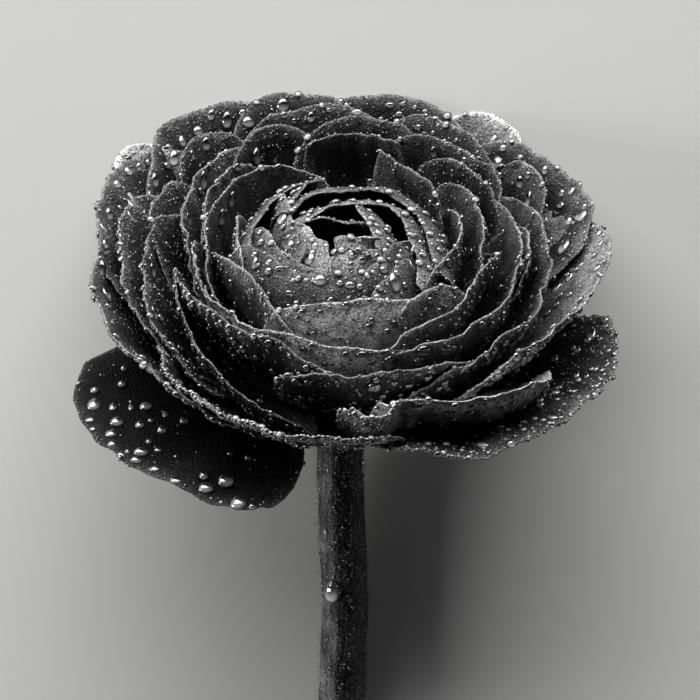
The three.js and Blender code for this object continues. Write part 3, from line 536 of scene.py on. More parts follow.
# ---------------------------------------------------------------- inner petals
# The youngest petals, palest of all. They are hoods: each arches in over the heart, so that its back shows
# beside its rim and the hollow under it is black. The bud in the middle is still shut at a slit.
INNER = [
    {"span": (140, 212), "rim": [15.9, 14.5, 13.3, 12.9, 12.9], "fall": (0.15, 0.15)},
    {"span": (228, 330), "rim": [14, 12.3, 11.1, 11, 11.8, 12.2, 11.6], "fall": (0.05, 0.1), "lean": 118,
     "tone": 2.6, "mist": 0.3},
    {"span": (300, 342), "rim": [12.1, 13.1, 14.3, 15.2], "fall": (0.1, 0.15), "lean": 115},
]
HOODS = [  # points: the rim in plan, x to the right and y to the rear; lean and swell: how it arches in
    {"span": (104, 190), "lean": 148, "swell": 0.3, "lift": (0.2, -0.3), "tone": 0.5,
     "points": [(-2.8, 11.4), (-6, 10.5), (-9, 7.8), (-10.9, 4), (-11.5, 1), (-11.5, -0.8)]},
    {"span": (112, 160), "lean": 140, "swell": 0.3, "lift": (0.3, 0), "tone": 0.6,
     "points": [(-4.8, 10.6), (-5.8, 8.3), (-6.5, 6.9), (-7, 5.4)]},
    {"span": (-28, 158), "lean": 160, "swell": 0.34, "lift": (-0.7, 0.3), "tone": 0.5,
     "points": [(11.2, -4.2), (10.6, -0.6), (10, 3), (8.2, 6.4), (5.6, 9.1), (2.2, 9.9), (-1.2, 9.2),
                (-4.2, 8.2), (-6.5, 4.6)]},
    {"span": (-44, 152), "lean": 154, "swell": 0.36, "lift": (-0.7, 0.3), "tone": 0.8,
     "points": [(9, -7), (9.1, -3.6), (8.3, -0.2), (7.9, 2.8), (6.6, 5.5), (3.8, 6.8), (0.6, 6.4),
                (-2.6, 5.1), (-5.6, 2.4)]},
    {"span": (-16, 70), "lean": 152, "swell": 0.36, "lift": (-0.6, 0.1), "tone": 0.9,
     "points": [(4, -0.8), (3.8, 1.2), (3.2, 3.1), (2.5, 4.7), (1.6, 6.5)]},
    {"span": (-74, 18), "lean": 150, "swell": 0.4, "lift": (-1, -0.3), "tone": 0.6,
     "points": [(3.3, -9.6), (4.2, -7.6), (5.6, -5.6), (6.5, -3), (6.3, -0.6), (8.4, 0.4)]},
    {"span": (64, 168), "lean": 144, "swell": 0.4, "lift": (-0.1, 0), "tone": 0.6,
     "points": [(2.3, 2.8), (0.3, 3.1), (-1.8, 3.7), (-4, 3.2), (-5.5, 2.4)]},
    {"span": (134, 190), "lean": 150, "swell": 0.36, "lift": (0.4, 0), "tone": 0.9,
     "points": [(-7.4, 8.4), (-6.6, 5.8), (-6.4, 3.4), (-5.4, 2.3), (-5.1, 1.3)]},
    {"span": (164, 216), "lean": 156, "swell": 0.42, "lift": (-0.2, -0.7), "tone": 0.5,
     "points": [(-5.5, 2.2), (-4.8, 0.8), (-4.7, -0.8), (-4.9, -2.3), (-5.5, -3.8)]},
    {"span": (166, 262), "lean": 150, "swell": 0.42, "lift": (-0.1, -0.7), "tone": 0.7,
     "points": [(-10.4, 2.4), (-9.2, 1.2), (-8.4, -0.8), (-6.8, -2.4), (-5, -4.2), (-3, -5)]},
    {"span": (182, 352), "lean": 148, "swell": 0.42, "lift": (0.2, 0), "tone": 0.42,
     "points": [(-12.1, -0.7), (-9.8, -2.6), (-7.4, -4.8), (-4.4, -6.4), (-0.6, -6.6), (2.6, -5.9),
                (4.6, -3.4), (6.1, -0.9)]},
    {"span": (146, 268), "lean": 168, "swell": 0.42, "lift": (0, -0.8), "tone": 2.3, "mist": 1,
     "points": [(-5.1, 2.3), (-4.2, 1.9), (-3.5, 0.4), (-2.1, -0.2), (-2, -1.5), (-1.8, -2.8), (-1.5, -4.2)]},
    {"span": (240, 392), "lean": 166, "swell": 0.36, "lift": (-0.4, -0.5), "tone": 2.3, "mist": 1,
     "points": [(-1.7, -4.6), (-1.3, -2.4), (-0.9, -1), (-0.4, -0.8), (0.3, -1.2), (1, -1.9), (2, -2.3),
                (3.4, -1.6)]},
    {"span": (262, 400), "lean": 158, "swell": 0.3, "lift": (-0.4, -0.2), "tone": 2, "mist": 1,
     "points": [(-1.1, -0.8), (-1.2, 0.2), (-0.4, 0.5), (0.8, 0.6), (2.2, 0.5), (3.4, 0)]},
]
inner_rows = [{"mist": 0.8, "dew": 1.1, **row} for row in INNER + HOODS]
inner_petals = grow("inner_petals", inner_rows, HIDDEN_FROM, 900)
inner_petals.data.materials.append(petal_tissue("inner_petal_tissue", "#8c8c8c", "#8e8e8e", 0.1, 0.6))

# ---------------------------------------------------------------- petal bases
# The bases of all the petals, a dark mass deep inside that they stand out of. It is the same tissue as
# the petals, painted dull and nearly black as shade, because no light reaches it.
BASE_PROFILE = [(0, -BASE_DEPTH), (4.6, -22.5), (9.6, -20.6), (13.6, -17.2), (16, -13.6), (15.4, -11.8),
                (11, -10.4), (6, -9.4), (0, -9)]


def lathe(profile, sides):
    """A closed turned shape in the bloom's frame, from its radius and height at points from pole to pole."""
    turn = np.linspace(0, 2 * math.pi, sides, endpoint=False)
    rings = [np.stack([r * np.cos(turn), r * np.sin(turn), np.full_like(turn, z)], -1)
             for r, z in profile[1:-1]]
    vertices = np.concatenate([*rings, [(0, 0, profile[0][1]), (0, 0, profile[-1][1])]])
    low, high, last = len(vertices) - 2, len(vertices) - 1, (len(rings) - 1) * sides
    faces = []
    for k in range(sides):
        after = (k + 1) % sides
        faces += [(low, after, k), (high, last + k, last + after)]
        faces += [(i * sides + k, i * sides + after, (i + 1) * sides + after, (i + 1) * sides + k)
                  for i in range(len(rings) - 1)]
    return to_world(vertices), faces


petal_bases = make_piece("petal_bases", *lathe(BASE_PROFILE, 48))
base_tissue, tree = new_material("petal_base_tissue")
place = add(tree, "ShaderNodeTexCoord").outputs["Object"]
pleats = add(tree, "ShaderNodeTexNoise", {"Vector": place, "Scale": 1 / (2 * MM), "Detail": 3}).outputs[0]
shade = add(tree, "ShaderNodeMix", {0: pleats, 6: colour("#050505"), 7: colour("#0f0f0f")}, data_type="RGBA")
shader = add(tree, "ShaderNodeBsdfPrincipled", {"Base Color": shade.outputs[2], "Roughness": 0.9})
add(tree, "ShaderNodeOutputMaterial", {"Surface": shader.outputs[0]})
petal_bases.data.materials.append(base_tissue)

for piece in (outer_petals, second_petals, rear_petals, middle_petals, inner_petals, petal_bases):
    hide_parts("petals")
    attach(piece, "root")

# ---------------------------------------------------------------- sepals
# Five small downy leaves under the bloom, on a ring at the top of the stem, bent back against the petals.
SEPALS = 5
SEPAL_LENGTH = 9
SEPAL_WIDTH = 6.4
SEPAL_THICKNESS = 0.5
SEPAL_OUTLINE = (0.28, 0.65)  # the stretch of a sine wave that a sepal's width follows
SEPAL_RISE = 1.9  # how far its tip bends up
SEPAL_HOLLOW = 0.5
MIDRIB_DEPTH, MIDRIB_WIDTH = 0.12, 0.12  # the width as a share of the sepal's
FIRST_SEPAL = 126  # degrees from the right
GAP = 0.3  # clearance between pieces that are grown together
RING_INNER = 3.6
RING_PROFILE = [(RING_INNER, -1.4), (4.7, -1.4), (5.05, -1.15), (5.2, -0.7), (5.1, -0.25), (4.9, 0),
                (RING_INNER, 0)]  # from its top
SEPAL_FOOT = (0.8, -1.25)  # outwards from the ring's inner side, and below the petals


def sepal_mesh(azimuth, seed):
    """One sepal, a pointed leaf hollow along its length with a midrib: its vertices and quads."""
    along, across = np.meshgrid(np.linspace(0, 1, 25), np.linspace(-1, 1, 15), indexing="ij")
    out = np.array([math.cos(azimuth), math.sin(azimuth), 0])
    side = np.array([-out[1], out[0], 0])
    outline = np.sin(math.pi * (SEPAL_OUTLINE[0] + SEPAL_OUTLINE[1] * along))
    width = SEPAL_WIDTH / 2 * outline * across
    hollow = SEPAL_HOLLOW * across**2 * np.sin(math.pi * along)
    hollow = hollow - MIDRIB_DEPTH * np.exp(-((across / MIDRIB_WIDTH) ** 2))
    height = SEPAL_RISE * along**2 + hollow + ripple(width, 4 * along, 0.06, 1.6, seed)
    height = height - BASE_DEPTH + SEPAL_FOOT[1]
    middle = out * (RING_INNER + SEPAL_FOOT[0] + SEPAL_LENGTH * along)[..., None] + side * width[..., None]
    middle = middle + np.array([0, 0, 1]) * height[..., None]
    half = SEPAL_THICKNESS / 2 * (1 - 0.5 * np.abs(across) ** 4)
    return blade(to_world(middle)[:, ::-1], half[:, ::-1])


def ring_mesh(profile, top, sides):
    """A closed ring round the bloom's axis, from the profile of its section and the height of its top."""
    turn = np.linspace(0, 2 * math.pi, sides, endpoint=False)
    points = [np.stack([r * np.cos(turn), r * np.sin(turn), np.full_like(turn, top + z)], -1)
              for r, z in profile]
    faces = []
    for i in range(len(profile)):
        ring, next_ring = i * sides, (i + 1) % len(profile) * sides
        for k in range(sides):
            after = (k + 1) % sides
            faces.append((ring + k, ring + after, next_ring + after, next_ring + k))
    return to_world(np.concatenate(points)), faces


sepal_parts = [sepal_mesh(math.radians(FIRST_SEPAL + 360 / SEPALS * i), 1200 + i) for i in range(SEPALS)]
sepals = make_piece("sepal_whorl", *together([ring_mesh(RING_PROFILE, -BASE_DEPTH - GAP, 48), *sepal_parts]))
sepal_skin, tree = new_material("sepal_skin")  # thin leaf skin, mottled, and dulled by short down
place = add(tree, "ShaderNodeTexCoord").outputs["Object"]
mottle = add(tree, "ShaderNodeTexNoise", {"Vector": place, "Scale": 1 / (1.5 * MM), "Detail": 5})
shade = add(tree, "ShaderNodeMapRange", {"Value": mottle.outputs[0], 1: 0.3, 2: 0.7})
shade = add(tree, "ShaderNodeMix", {0: shade.outputs[0], 6: colour("#303030"), 7: colour("#666666")},
            data_type="RGBA")
bump = add(tree, "ShaderNodeBump", {"Height": mottle.outputs[0], "Strength": 0.6, "Distance": 0.15 * MM})
shader = add(tree, "ShaderNodeBsdfPrincipled", {
    "Base Color": shade.outputs[2], "Roughness": 0.6, "Normal": bump.outputs[0], "Sheen Weight": 0.2,
})
add(tree, "ShaderNodeOutputMaterial", {"Surface": shader.outputs[0]})
sepals.data.materials.append(sepal_skin)
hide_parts("sepals")
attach(sepals, "root")

# ---------------------------------------------------------------- stem
# A bare round stalk, finely ribbed, mottled and hairy, grown out of the bloom's back. It bends over and lies
# on the surface at its lower end, where it is cut off square.
STEM_RADIUS = 3.05
STEM_RIBS = 11
RIB_HEIGHT = 0.012  # of the radius
RIB_TWIST = (0.6, 19)  # radians to and fro, and along how many mm
STEM_SWELLINGS = (0.012, 9)  # of the radius, and along how many mm
STEM_CREASES = (0.006, 1.3)
STEM_STEPS, STEM_SIDES = 180, 72
STEM_RUN = [(-0.5, -22.5, 7.4), (-0.5, -28, 5), (-0.3, -36, 3.9), (0.1, -46, 3.5), (-0.2, -58, 3.3),
            (-0.9, -70, 3.15), (-1.5, -82, 3)]  # its middle line from below the eye, and above the surface
neck = to_world(np.array([(0, 0, -BASE_DEPTH - GAP), (0, 0, -BASE_DEPTH - GAP - 3)]))
run = np.concatenate([neck, np.array(STEM_RUN) + (EYE[0], EYE[1], 0)])


def smooth_line(points, count):
    """Evenly spaced points of a smooth line through unevenly spaced ones, and its directions."""
    at = np.concatenate([[0], np.cumsum(np.linalg.norm(np.diff(points, axis=0), axis=1))])
    slope = np.gradient(points, at, axis=0)
    place = np.linspace(0, at[-1], count)
    i = np.clip(np.searchsorted(at, place) - 1, 0, len(at) - 2)
    span = (at[i + 1] - at[i])[:, None]
    t = ((place - at[i]) / (at[i + 1] - at[i]))[:, None]
    line = ((2 * t**3 - 3 * t**2 + 1) * points[i] + (t**3 - 2 * t**2 + t) * span * slope[i]
            + (3 * t**2 - 2 * t**3) * points[i + 1] + (t**3 - t**2) * span * slope[i + 1])
    return line, unit(np.gradient(line, axis=0)), place


line, ahead, down = smooth_line(run, STEM_STEPS)
turn = np.linspace(0, 2 * math.pi, STEM_SIDES, endpoint=False)[None, :]  # from its left side, over the top
side = unit(np.cross(ahead, (0, 0, 1)))
above = np.cross(side, ahead)
around, lengthwise = turn * STEM_RADIUS, down[:, None]
twist = RIB_TWIST[0] * np.sin(lengthwise / RIB_TWIST[1])
girth = STEM_RADIUS * (1 + RIB_HEIGHT * np.sin(STEM_RIBS * turn + twist)
                       + ripple(around, lengthwise, *STEM_SWELLINGS, 60)
                       + ripple(around, 0.3 * lengthwise, *STEM_CREASES, 61) - 0.01)
skin = line[:, None] + girth[..., None] * (side[:, None] * np.cos(turn)[..., None]
                                           + above[:, None] * np.sin(turn)[..., None])
skin[..., 2] = np.maximum(skin[..., 2], 0)
index = np.arange(STEM_STEPS * STEM_SIDES).reshape(STEM_STEPS, STEM_SIDES)
after = np.roll(index, -1, axis=1)
stem_faces = np.stack([index[:-1], index[1:], after[1:], after[:-1]], -1).reshape(-1, 4).tolist()
stem_vertices = np.concatenate([skin.reshape(-1, 3), line[:1], line[-1:]])
top_pole, cut_pole = len(stem_vertices) - 2, len(stem_vertices) - 1
stem_faces += [(top_pole, index[0, k], after[0, k]) for k in range(STEM_SIDES)]
cut_from = len(stem_faces)
stem_faces += [(cut_pole, after[-1, k], index[-1, k]) for k in range(STEM_SIDES)]
stem_places = np.zeros((len(stem_vertices), 2))
stem_places[:-2] = np.stack(np.broadcast_arrays(around, lengthwise), -1).reshape(-1, 2)
clear_of_floor = np.clip(stem_vertices[:, 2] - 1, 0, 1)
# painted light: paler along the side that the left lamp lights, with a painted highlight in a thin line along
# the other
painted_side_light = 1.3 * np.clip((np.cos(turn) - 0.1) / 0.5, 0, 1)
painted_side_light = 0.4 + painted_side_light + 1.2 * np.exp(-(((turn - math.pi) / 0.14) ** 2))
stem_tone = np.full(len(stem_vertices), 0.7)
stem_tone[:-2] = np.broadcast_to(painted_side_light, girth.shape).ravel()
stem_values = {"hairy": clear_of_floor, "mist": 0.3 * clear_of_floor, "tone": stem_tone}
stem = make_piece("stalk", stem_vertices, stem_faces, stem_values, stem_places)
stem_skin, tree = new_material("stem_skin")  # satin plant skin over long fibres, nearly black in the shade
place = add(tree, "ShaderNodeTexCoord").outputs["Object"]
uv = add(tree, "ShaderNodeUVMap", uv_map="UVMap").outputs["UV"]
fibre_scale = (UV_SPAN / 0.5, UV_SPAN / 6, 1)  # fibres about 0.5 mm wide and 6 mm long
stretched = add(tree, "ShaderNodeMapping", {"Vector": uv, "Scale": fibre_scale}).outputs[0]
fibres = add(tree, "ShaderNodeTexNoise", {"Vector": stretched, "Scale": 1, "Detail": 3}).outputs[0]
mottle = add(tree, "ShaderNodeTexNoise", {"Vector": place, "Scale": 1 / (1.8 * MM), "Detail": 6}).outputs[0]
patches = add(tree, "ShaderNodeTexNoise", {"Vector": place, "Scale": 1 / (6 * MM), "Detail": 2}).outputs[0]
patches = add(tree, "ShaderNodeMapRange", {"Value": patches, 1: 0.4, 2: 0.6, 3: 0.5, 4: 1.3}).outputs[0]
grain = add(tree, "ShaderNodeTexNoise", {"Vector": place, "Scale": 1 / (0.3 * MM), "Detail": 2}).outputs[0]
shade = add(tree, "ShaderNodeMath", {0: fibres, 1: mottle}, operation="MULTIPLY").outputs[0]
for factor in (grain, patches):
    shade = add(tree, "ShaderNodeMath", {0: shade, 1: factor}, operation="MULTIPLY").outputs[0]
shade = add(tree, "ShaderNodeMapRange", {"Value": shade, 1: 0.05, 2: 0.22}).outputs[0]
shade = add(tree, "ShaderNodeMix", {0: shade, 6: colour("#030303"), 7: colour("#666666")},
            data_type="RGBA").outputs[2]
# the tone holds the painted light of the stem's sides
tone = add(tree, "ShaderNodeAttribute", attribute_name="tone").outputs["Fac"]
shade = add(tree, "ShaderNodeVectorMath", {0: shade, "Scale": tone}, operation="SCALE").outputs[0]
relief = add(tree, "ShaderNodeMath", {0: fibres, 1: mottle}, operation="ADD").outputs[0]
relief = add(tree, "ShaderNodeMath", {0: relief, 1: grain}, operation="ADD").outputs[0]
bump = add(tree, "ShaderNodeBump", {"Height": relief, "Strength": 0.8, "Distance": 0.2 * MM}).outputs[0]
shader = add(tree, "ShaderNodeBsdfPrincipled", {
    "Base Color": shade, "Roughness": 0.45, "Normal": bump, "Specular IOR Level": 0.3,
})
add(tree, "ShaderNodeOutputMaterial", {"Surface": shader.outputs[0]})
stem.data.materials.append(stem_skin)
stem_pith, tree = new_material("stem_pith")  # the cut: pale, dull and full of pores
place = add(tree, "ShaderNodeTexCoord").outputs["Object"]
pores = add(tree, "ShaderNodeTexVoronoi", {"Vector": place, "Scale": 1 / (0.3 * MM)}).outputs["Distance"]
shade = add(tree, "ShaderNodeMix", {0: pores, 6: colour("#9a9a9a"), 7: colour("#5c5c5c")}, data_type="RGBA")
shader = add(tree, "ShaderNodeBsdfPrincipled", {"Base Color": shade.outputs[2], "Roughness": 0.6})
add(tree, "ShaderNodeOutputMaterial", {"Surface": shader.outputs[0]})
stem.data.materials.append(stem_pith)
for face in stem.data.polygons[cut_from:]:
    face.material_index = 1
    face.use_smooth = False


def grown(name, source, tree, settings):
    """A plain mesh piece that a Geometry Nodes tree makes on the source's mesh with those settings."""
    piece = bpy.data.objects.new(name, source.data)
    bpy.context.scene.collection.objects.link(piece)
    modifier = piece.modifiers.new(name, "NODES")
    modifier.node_group = tree
    for item in tree.interface.items_tree:
        if item.in_out == "INPUT" and item.name in settings:
            modifier[item.identifier] = settings[item.name]
    mesh = bpy.data.meshes.new_from_object(piece.evaluated_get(bpy.context.evaluated_depsgraph_get()))
    piece.modifiers.remove(modifier)
    piece.data = mesh
    mesh.name = name
    return piece


def new_growth(name, inputs):
    """A Geometry Nodes tree with a mesh and the named inputs to start from, for what grows on the mesh."""
    tree = bpy.data.node_groups.new(name, "GeometryNodeTree")
    for socket_name, kind in {"Mesh": "Geometry", **inputs}.items():
        tree.interface.new_socket(socket_name, in_out="INPUT", socket_type="NodeSocket" + kind)
    tree.interface.new_socket("Growth", in_out="OUTPUT", socket_type="NodeSocketGeometry")
    return tree, add(tree, "NodeGroupInput").outputs


hair_tree, given = new_growth("stem_hairs", {
    "Density": "Float", "Shortest": "Float", "Longest": "Float", "Width": "Float", "Seed": "Int",
    "Finish": "Material",
})
hairy = add(hair_tree, "GeometryNodeInputNamedAttribute", {"Name": "hairy"}, data_type="FLOAT")
hairy = hairy.outputs["Attribute"]
density = add(hair_tree, "ShaderNodeMath", {0: given["Density"], 1: hairy}, operation="MULTIPLY").outputs[0]
roots = add(hair_tree, "GeometryNodeDistributePointsOnFaces", {
    "Mesh": given["Mesh"], "Density": density, "Seed": given["Seed"],
})
tilt = add(hair_tree, "FunctionNodeRandomValue", {
    0: (-0.7, -0.7, -0.7), 1: (0.7, 0.7, 0.7), "Seed": given["Seed"],
}, data_type="FLOAT_VECTOR").outputs[0]
aim = add(hair_tree, "ShaderNodeVectorMath", {0: roots.outputs["Normal"], 1: tilt}, operation="ADD")
aim = add(hair_tree, "FunctionNodeAlignRotationToVector", {"Vector": aim.outputs[0]}, axis="Z").outputs[0]
length = add(hair_tree, "FunctionNodeRandomValue", {
    2: given["Shortest"], 3: given["Longest"], "Seed": given["Seed"],
}, data_type="FLOAT").outputs[1]
size = add(hair_tree, "ShaderNodeCombineXYZ", {0: given["Width"], 1: given["Width"], 2: length}).outputs[0]
hair = add(hair_tree, "GeometryNodeMeshCone", {
    "Vertices": 4, "Radius Top": 0.15, "Radius Bottom": 0.5, "Depth": 1.0,
}).outputs["Mesh"]
hairs = add(hair_tree, "GeometryNodeInstanceOnPoints", {
    "Points": roots.outputs["Points"], "Instance": hair, "Rotation": aim, "Scale": size,
}).outputs[0]
hairs = add(hair_tree, "GeometryNodeRealizeInstances", {"Geometry": hairs}).outputs[0]
hairs = add(hair_tree, "GeometryNodeSetMaterial", {"Geometry": hairs, "Material": given["Finish"]}).outputs[0]
add(hair_tree, "NodeGroupOutput", {"Growth": hairs})
down_skin, tree = new_material("stem_down")  # fine glassy hairs, some of them pale and some dark
place = add(tree, "ShaderNodeTexCoord").outputs["Object"]
patches = add(tree, "ShaderNodeTexNoise", {"Vector": place, "Scale": 1 / (1.2 * MM)}).outputs[0]
shade = add(tree, "ShaderNodeMix", {0: patches, 6: colour("#3c3c3c"), 7: colour("#c8c8c8")}, data_type="RGBA")
shader = add(tree, "ShaderNodeBsdfPrincipled", {
    "Base Color": shade.outputs[2], "Roughness": 0.35, "Transmission Weight": 0.2,
})
add(tree, "ShaderNodeOutputMaterial", {"Surface": shader.outputs[0]})
stem_hairs = grown("stem_hairs", stem, hair_tree, {
    "Density": 2.2e6, "Shortest": 0.35 * MM, "Longest": 1.0 * MM, "Width": 0.05 * MM, "Seed": 4,
    "Finish": down_skin,
})
for piece in (stem, stem_hairs):
    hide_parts("stem")
    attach(piece, "root")

# ---------------------------------------------------------------- dew
# Drops of clear water that sit on the skin: large ones where the photograph shows them, small ones and mist
# strewn over the petals by rule, thickest along the rims, and beads that hang under the lowest rims.
water, tree = new_material("water")  # clear, with a sharp glint on top and a painted glow below, in a painted dark outline
glow = add(tree, "ShaderNodeAttribute", attribute_name="glow").outputs["Fac"]
tone = add(tree, "ShaderNodeAttribute", attribute_name="tone").outputs["Fac"]
tone = add(tree, "ShaderNodeMapRange", {"Value": tone, 1: 0, 2: 1.4, 3: 0.35, 4: 1}).outputs[0]
# painted light: the glow follows the tone of the skin below
glow = add(tree, "ShaderNodeMath", {0: glow, 1: tone}, operation="MULTIPLY").outputs[0]
body = add(tree, "ShaderNodeMix", {0: glow, 6: colour("#161616"), 7: colour("#fcfcfc")}, data_type="RGBA")
# the light inside falls as it does on the skin below, so the body is lit by the skin's own normal
seat = add(tree, "ShaderNodeAttribute", attribute_name="seat").outputs["Vector"]
shader = add(tree, "ShaderNodeBsdfPrincipled", {
    "Base Color": body.outputs[2], "Normal": seat, "Roughness": 0.3, "IOR": 1.333, "Specular IOR Level": 0,
    "Transmission Weight": 0.25, "Coat Weight": 1, "Coat Roughness": 0.03, "Coat IOR": 2.6,
})
add(tree, "ShaderNodeOutputMaterial", {"Surface": shader.outputs[0]})
mist_water, tree = new_material("mist")  # too small to see through: grey specks with a painted glow below, glinting above
glow = add(tree, "ShaderNodeAttribute", attribute_name="glow").outputs["Fac"]
tone = add(tree, "ShaderNodeAttribute", attribute_name="tone").outputs["Fac"]
place = add(tree, "ShaderNodeTexCoord").outputs["Object"]
uneven = add(tree, "ShaderNodeTexNoise", {"Vector": place, "Scale": 1 / (0.7 * MM)}).outputs[0]
uneven = add(tree, "ShaderNodeMapRange", {"Value": uneven, 1: 0.35, 2: 0.65, 3: 0.2, 4: 1.2}).outputs[0]
tone = add(tree, "ShaderNodeMapRange", {"Value": tone, 1: 0, 2: 1.4, 3: 0.3, 4: 1.2}).outputs[0]
for factor in (tone, uneven):
    glow = add(tree, "ShaderNodeMath", {0: glow, 1: factor}, operation="MULTIPLY", use_clamp=True).outputs[0]
body = add(tree, "ShaderNodeMix", {0: glow, 6: colour("#242424"), 7: colour("#f0f0f0")}, data_type="RGBA")
seat = add(tree, "ShaderNodeAttribute", attribute_name="seat").outputs["Vector"]
shader = add(tree, "ShaderNodeBsdfPrincipled", {
    "Base Color": body.outputs[2], "Normal": seat, "Roughness": 0.3, "Specular IOR Level": 0,
    "Coat Weight": 1, "Coat Roughness": 0.08, "Coat IOR": 2.6,
})
add(tree, "ShaderNodeOutputMaterial", {"Surface": shader.outputs[0]})

dew_tree, given = new_growth("strewn_dew", {
    "Where": "String", "Spacing": "Float", "Density": "Float", "Smallest": "Float", "Largest": "Float",
    "Rarity": "Float", "Sides": "Int", "Rings": "Int", "Seed": "Int", "Finish": "Material",
})
where = add(dew_tree, "GeometryNodeInputNamedAttribute", {"Name": given["Where"]}, data_type="FLOAT")
strewn = add(dew_tree, "GeometryNodeDistributePointsOnFaces", {
    "Mesh": given["Mesh"], "Distance Min": given["Spacing"], "Density Max": given["Density"],
    "Density Factor": where.outputs["Attribute"], "Seed": given["Seed"],
}, distribute_method="POISSON")
points = add(dew_tree, "GeometryNodeStoreNamedAttribute", {
    "Geometry": strewn.outputs["Points"], "Name": "seat", "Value": strewn.outputs["Normal"],
}, data_type="FLOAT_VECTOR", domain="POINT").outputs[0]
lot = add(dew_tree, "FunctionNodeRandomValue", {"Seed": given["Seed"]}, data_type="FLOAT").outputs[1]
lot = add(dew_tree, "ShaderNodeMath", {0: lot, 1: given["Rarity"]}, operation="POWER").outputs[0]
size = add(dew_tree, "ShaderNodeMapRange", {"Value": lot, 3: given["Smallest"], 4: given["Largest"]})
ball = add(dew_tree, "GeometryNodeMeshUVSphere", {
    "Segments": given["Sides"], "Rings": given["Rings"], "Radius": 1,
}).outputs["Mesh"]
on_ball = add(dew_tree, "GeometryNodeInputPosition").outputs[0]
across = add(dew_tree, "ShaderNodeSeparateXYZ", {0: on_ball}).outputs
# the ball is cut off below, flattened and set down on the skin
height = add(dew_tree, "ShaderNodeMath", {0: across[2], 1: -0.35}, operation="MAXIMUM").outputs[0]
height = add(dew_tree, "ShaderNodeMath", {0: height, 1: 0.7, 2: 0.12}, operation="MULTIPLY_ADD").outputs[0]
flat = add(dew_tree, "ShaderNodeCombineXYZ", {0: across[0], 1: across[1]}).outputs[0]
spot = add(dew_tree, "ShaderNodeCombineXYZ", {0: across[0], 1: across[1], 2: height}).outputs[0]
drop = add(dew_tree, "GeometryNodeSetPosition", {"Geometry": ball, "Position": spot}).outputs[0]
# painted glow where a drop would gather the light at its lower side, within a painted dark outline
painted_gathered_light = add(dew_tree, "ShaderNodeMapRange", {"Value": across[1], 1: 0.1, 2: -0.7}).outputs[0]
radius = add(dew_tree, "ShaderNodeVectorMath", {0: flat}, operation="LENGTH").outputs["Value"]
outline = add(dew_tree, "ShaderNodeMapRange", {"Value": radius, 1: 0.8, 2: 1, 3: 1, 4: 0.2}).outputs[0]
glow = add(dew_tree, "ShaderNodeMath", {0: painted_gathered_light, 1: outline}, operation="MULTIPLY").outputs[0]
drop = add(dew_tree, "GeometryNodeStoreNamedAttribute", {"Geometry": drop, "Name": "glow", "Value": glow},
           data_type="FLOAT", domain="POINT").outputs[0]
upright = add(dew_tree, "FunctionNodeAlignRotationToVector", {"Vector": strewn.outputs["Normal"]}, axis="Z")
upright = add(dew_tree, "FunctionNodeAlignRotationToVector", {
    "Rotation": upright.outputs[0], "Vector": (0, 1, 0),
}, axis="Y", pivot_axis="Z")
drops = add(dew_tree, "GeometryNodeInstanceOnPoints", {
    "Points": points, "Instance": drop, "Rotation": upright.outputs[0], "Scale": size.outputs[0],
}).outputs[0]
drops = add(dew_tree, "GeometryNodeRealizeInstances", {"Geometry": drops}).outputs[0]
drops = add(dew_tree, "GeometryNodeSetShadeSmooth", {"Geometry": drops}).outputs[0]
drops = add(dew_tree, "GeometryNodeSetMaterial", {"Geometry": drops, "Material": given["Finish"]}).outputs[0]
add(dew_tree, "NodeGroupOutput", {"Growth": drops})

# how strewn dew lies: Smallest and Largest are radii, Density is for a square metre where it is thickest, and
# Rarity is how rare the large ones are
DROPS = {"Where": "dew", "Spacing": 0.85 * MM, "Density": 1.6e6, "Smallest": 0.2 * MM, "Largest": 0.68 * MM,
         "Rarity": 1.5, "Sides": 9, "Rings": 4}
MIST = {"Where": "mist", "Spacing": 0.22 * MM, "Density": 9e6, "Smallest": 0.09 * MM, "Largest": 0.24 * MM,
        "Rarity": 1.6, "Sides": 5, "Rings": 3}
HANGING = {"Where": "hang", "Spacing": 0.4 * MM, "Density": 8e6, "Smallest": 0.2 * MM, "Largest": 0.5 * MM,
           "Rarity": 1.5, "Sides": 8, "Rings": 4}
THIN_MIST = {"Spacing": 0.3 * MM, "Density": 5e6, "Sides": 4}  # for the two whorls with the most skin
petal_pieces = (outer_petals, second_petals, rear_petals, middle_petals, inner_petals)
dew_pieces = []
for number, petals in enumerate(petal_pieces):
    whorl = petals.name.removesuffix("_petals")
    for kind, settings, finish in (("drops", DROPS, water), ("mist", MIST, mist_water)):
        settings = {**settings, "Seed": 20 + number, "Finish": finish}
        if kind == "mist" and whorl in ("outer", "inner"):
            settings.update(THIN_MIST)
        dew_pieces.append(grown(f"{whorl}_{kind}", petals, dew_tree, settings))
dew_pieces.append(grown("stem_mist", stem, dew_tree, {**MIST, "Seed": 30, "Finish": mist_water}))
dew_pieces.append(grown("hanging_beads", outer_petals, dew_tree, {**HANGING, "Seed": 40, "Finish": water}))

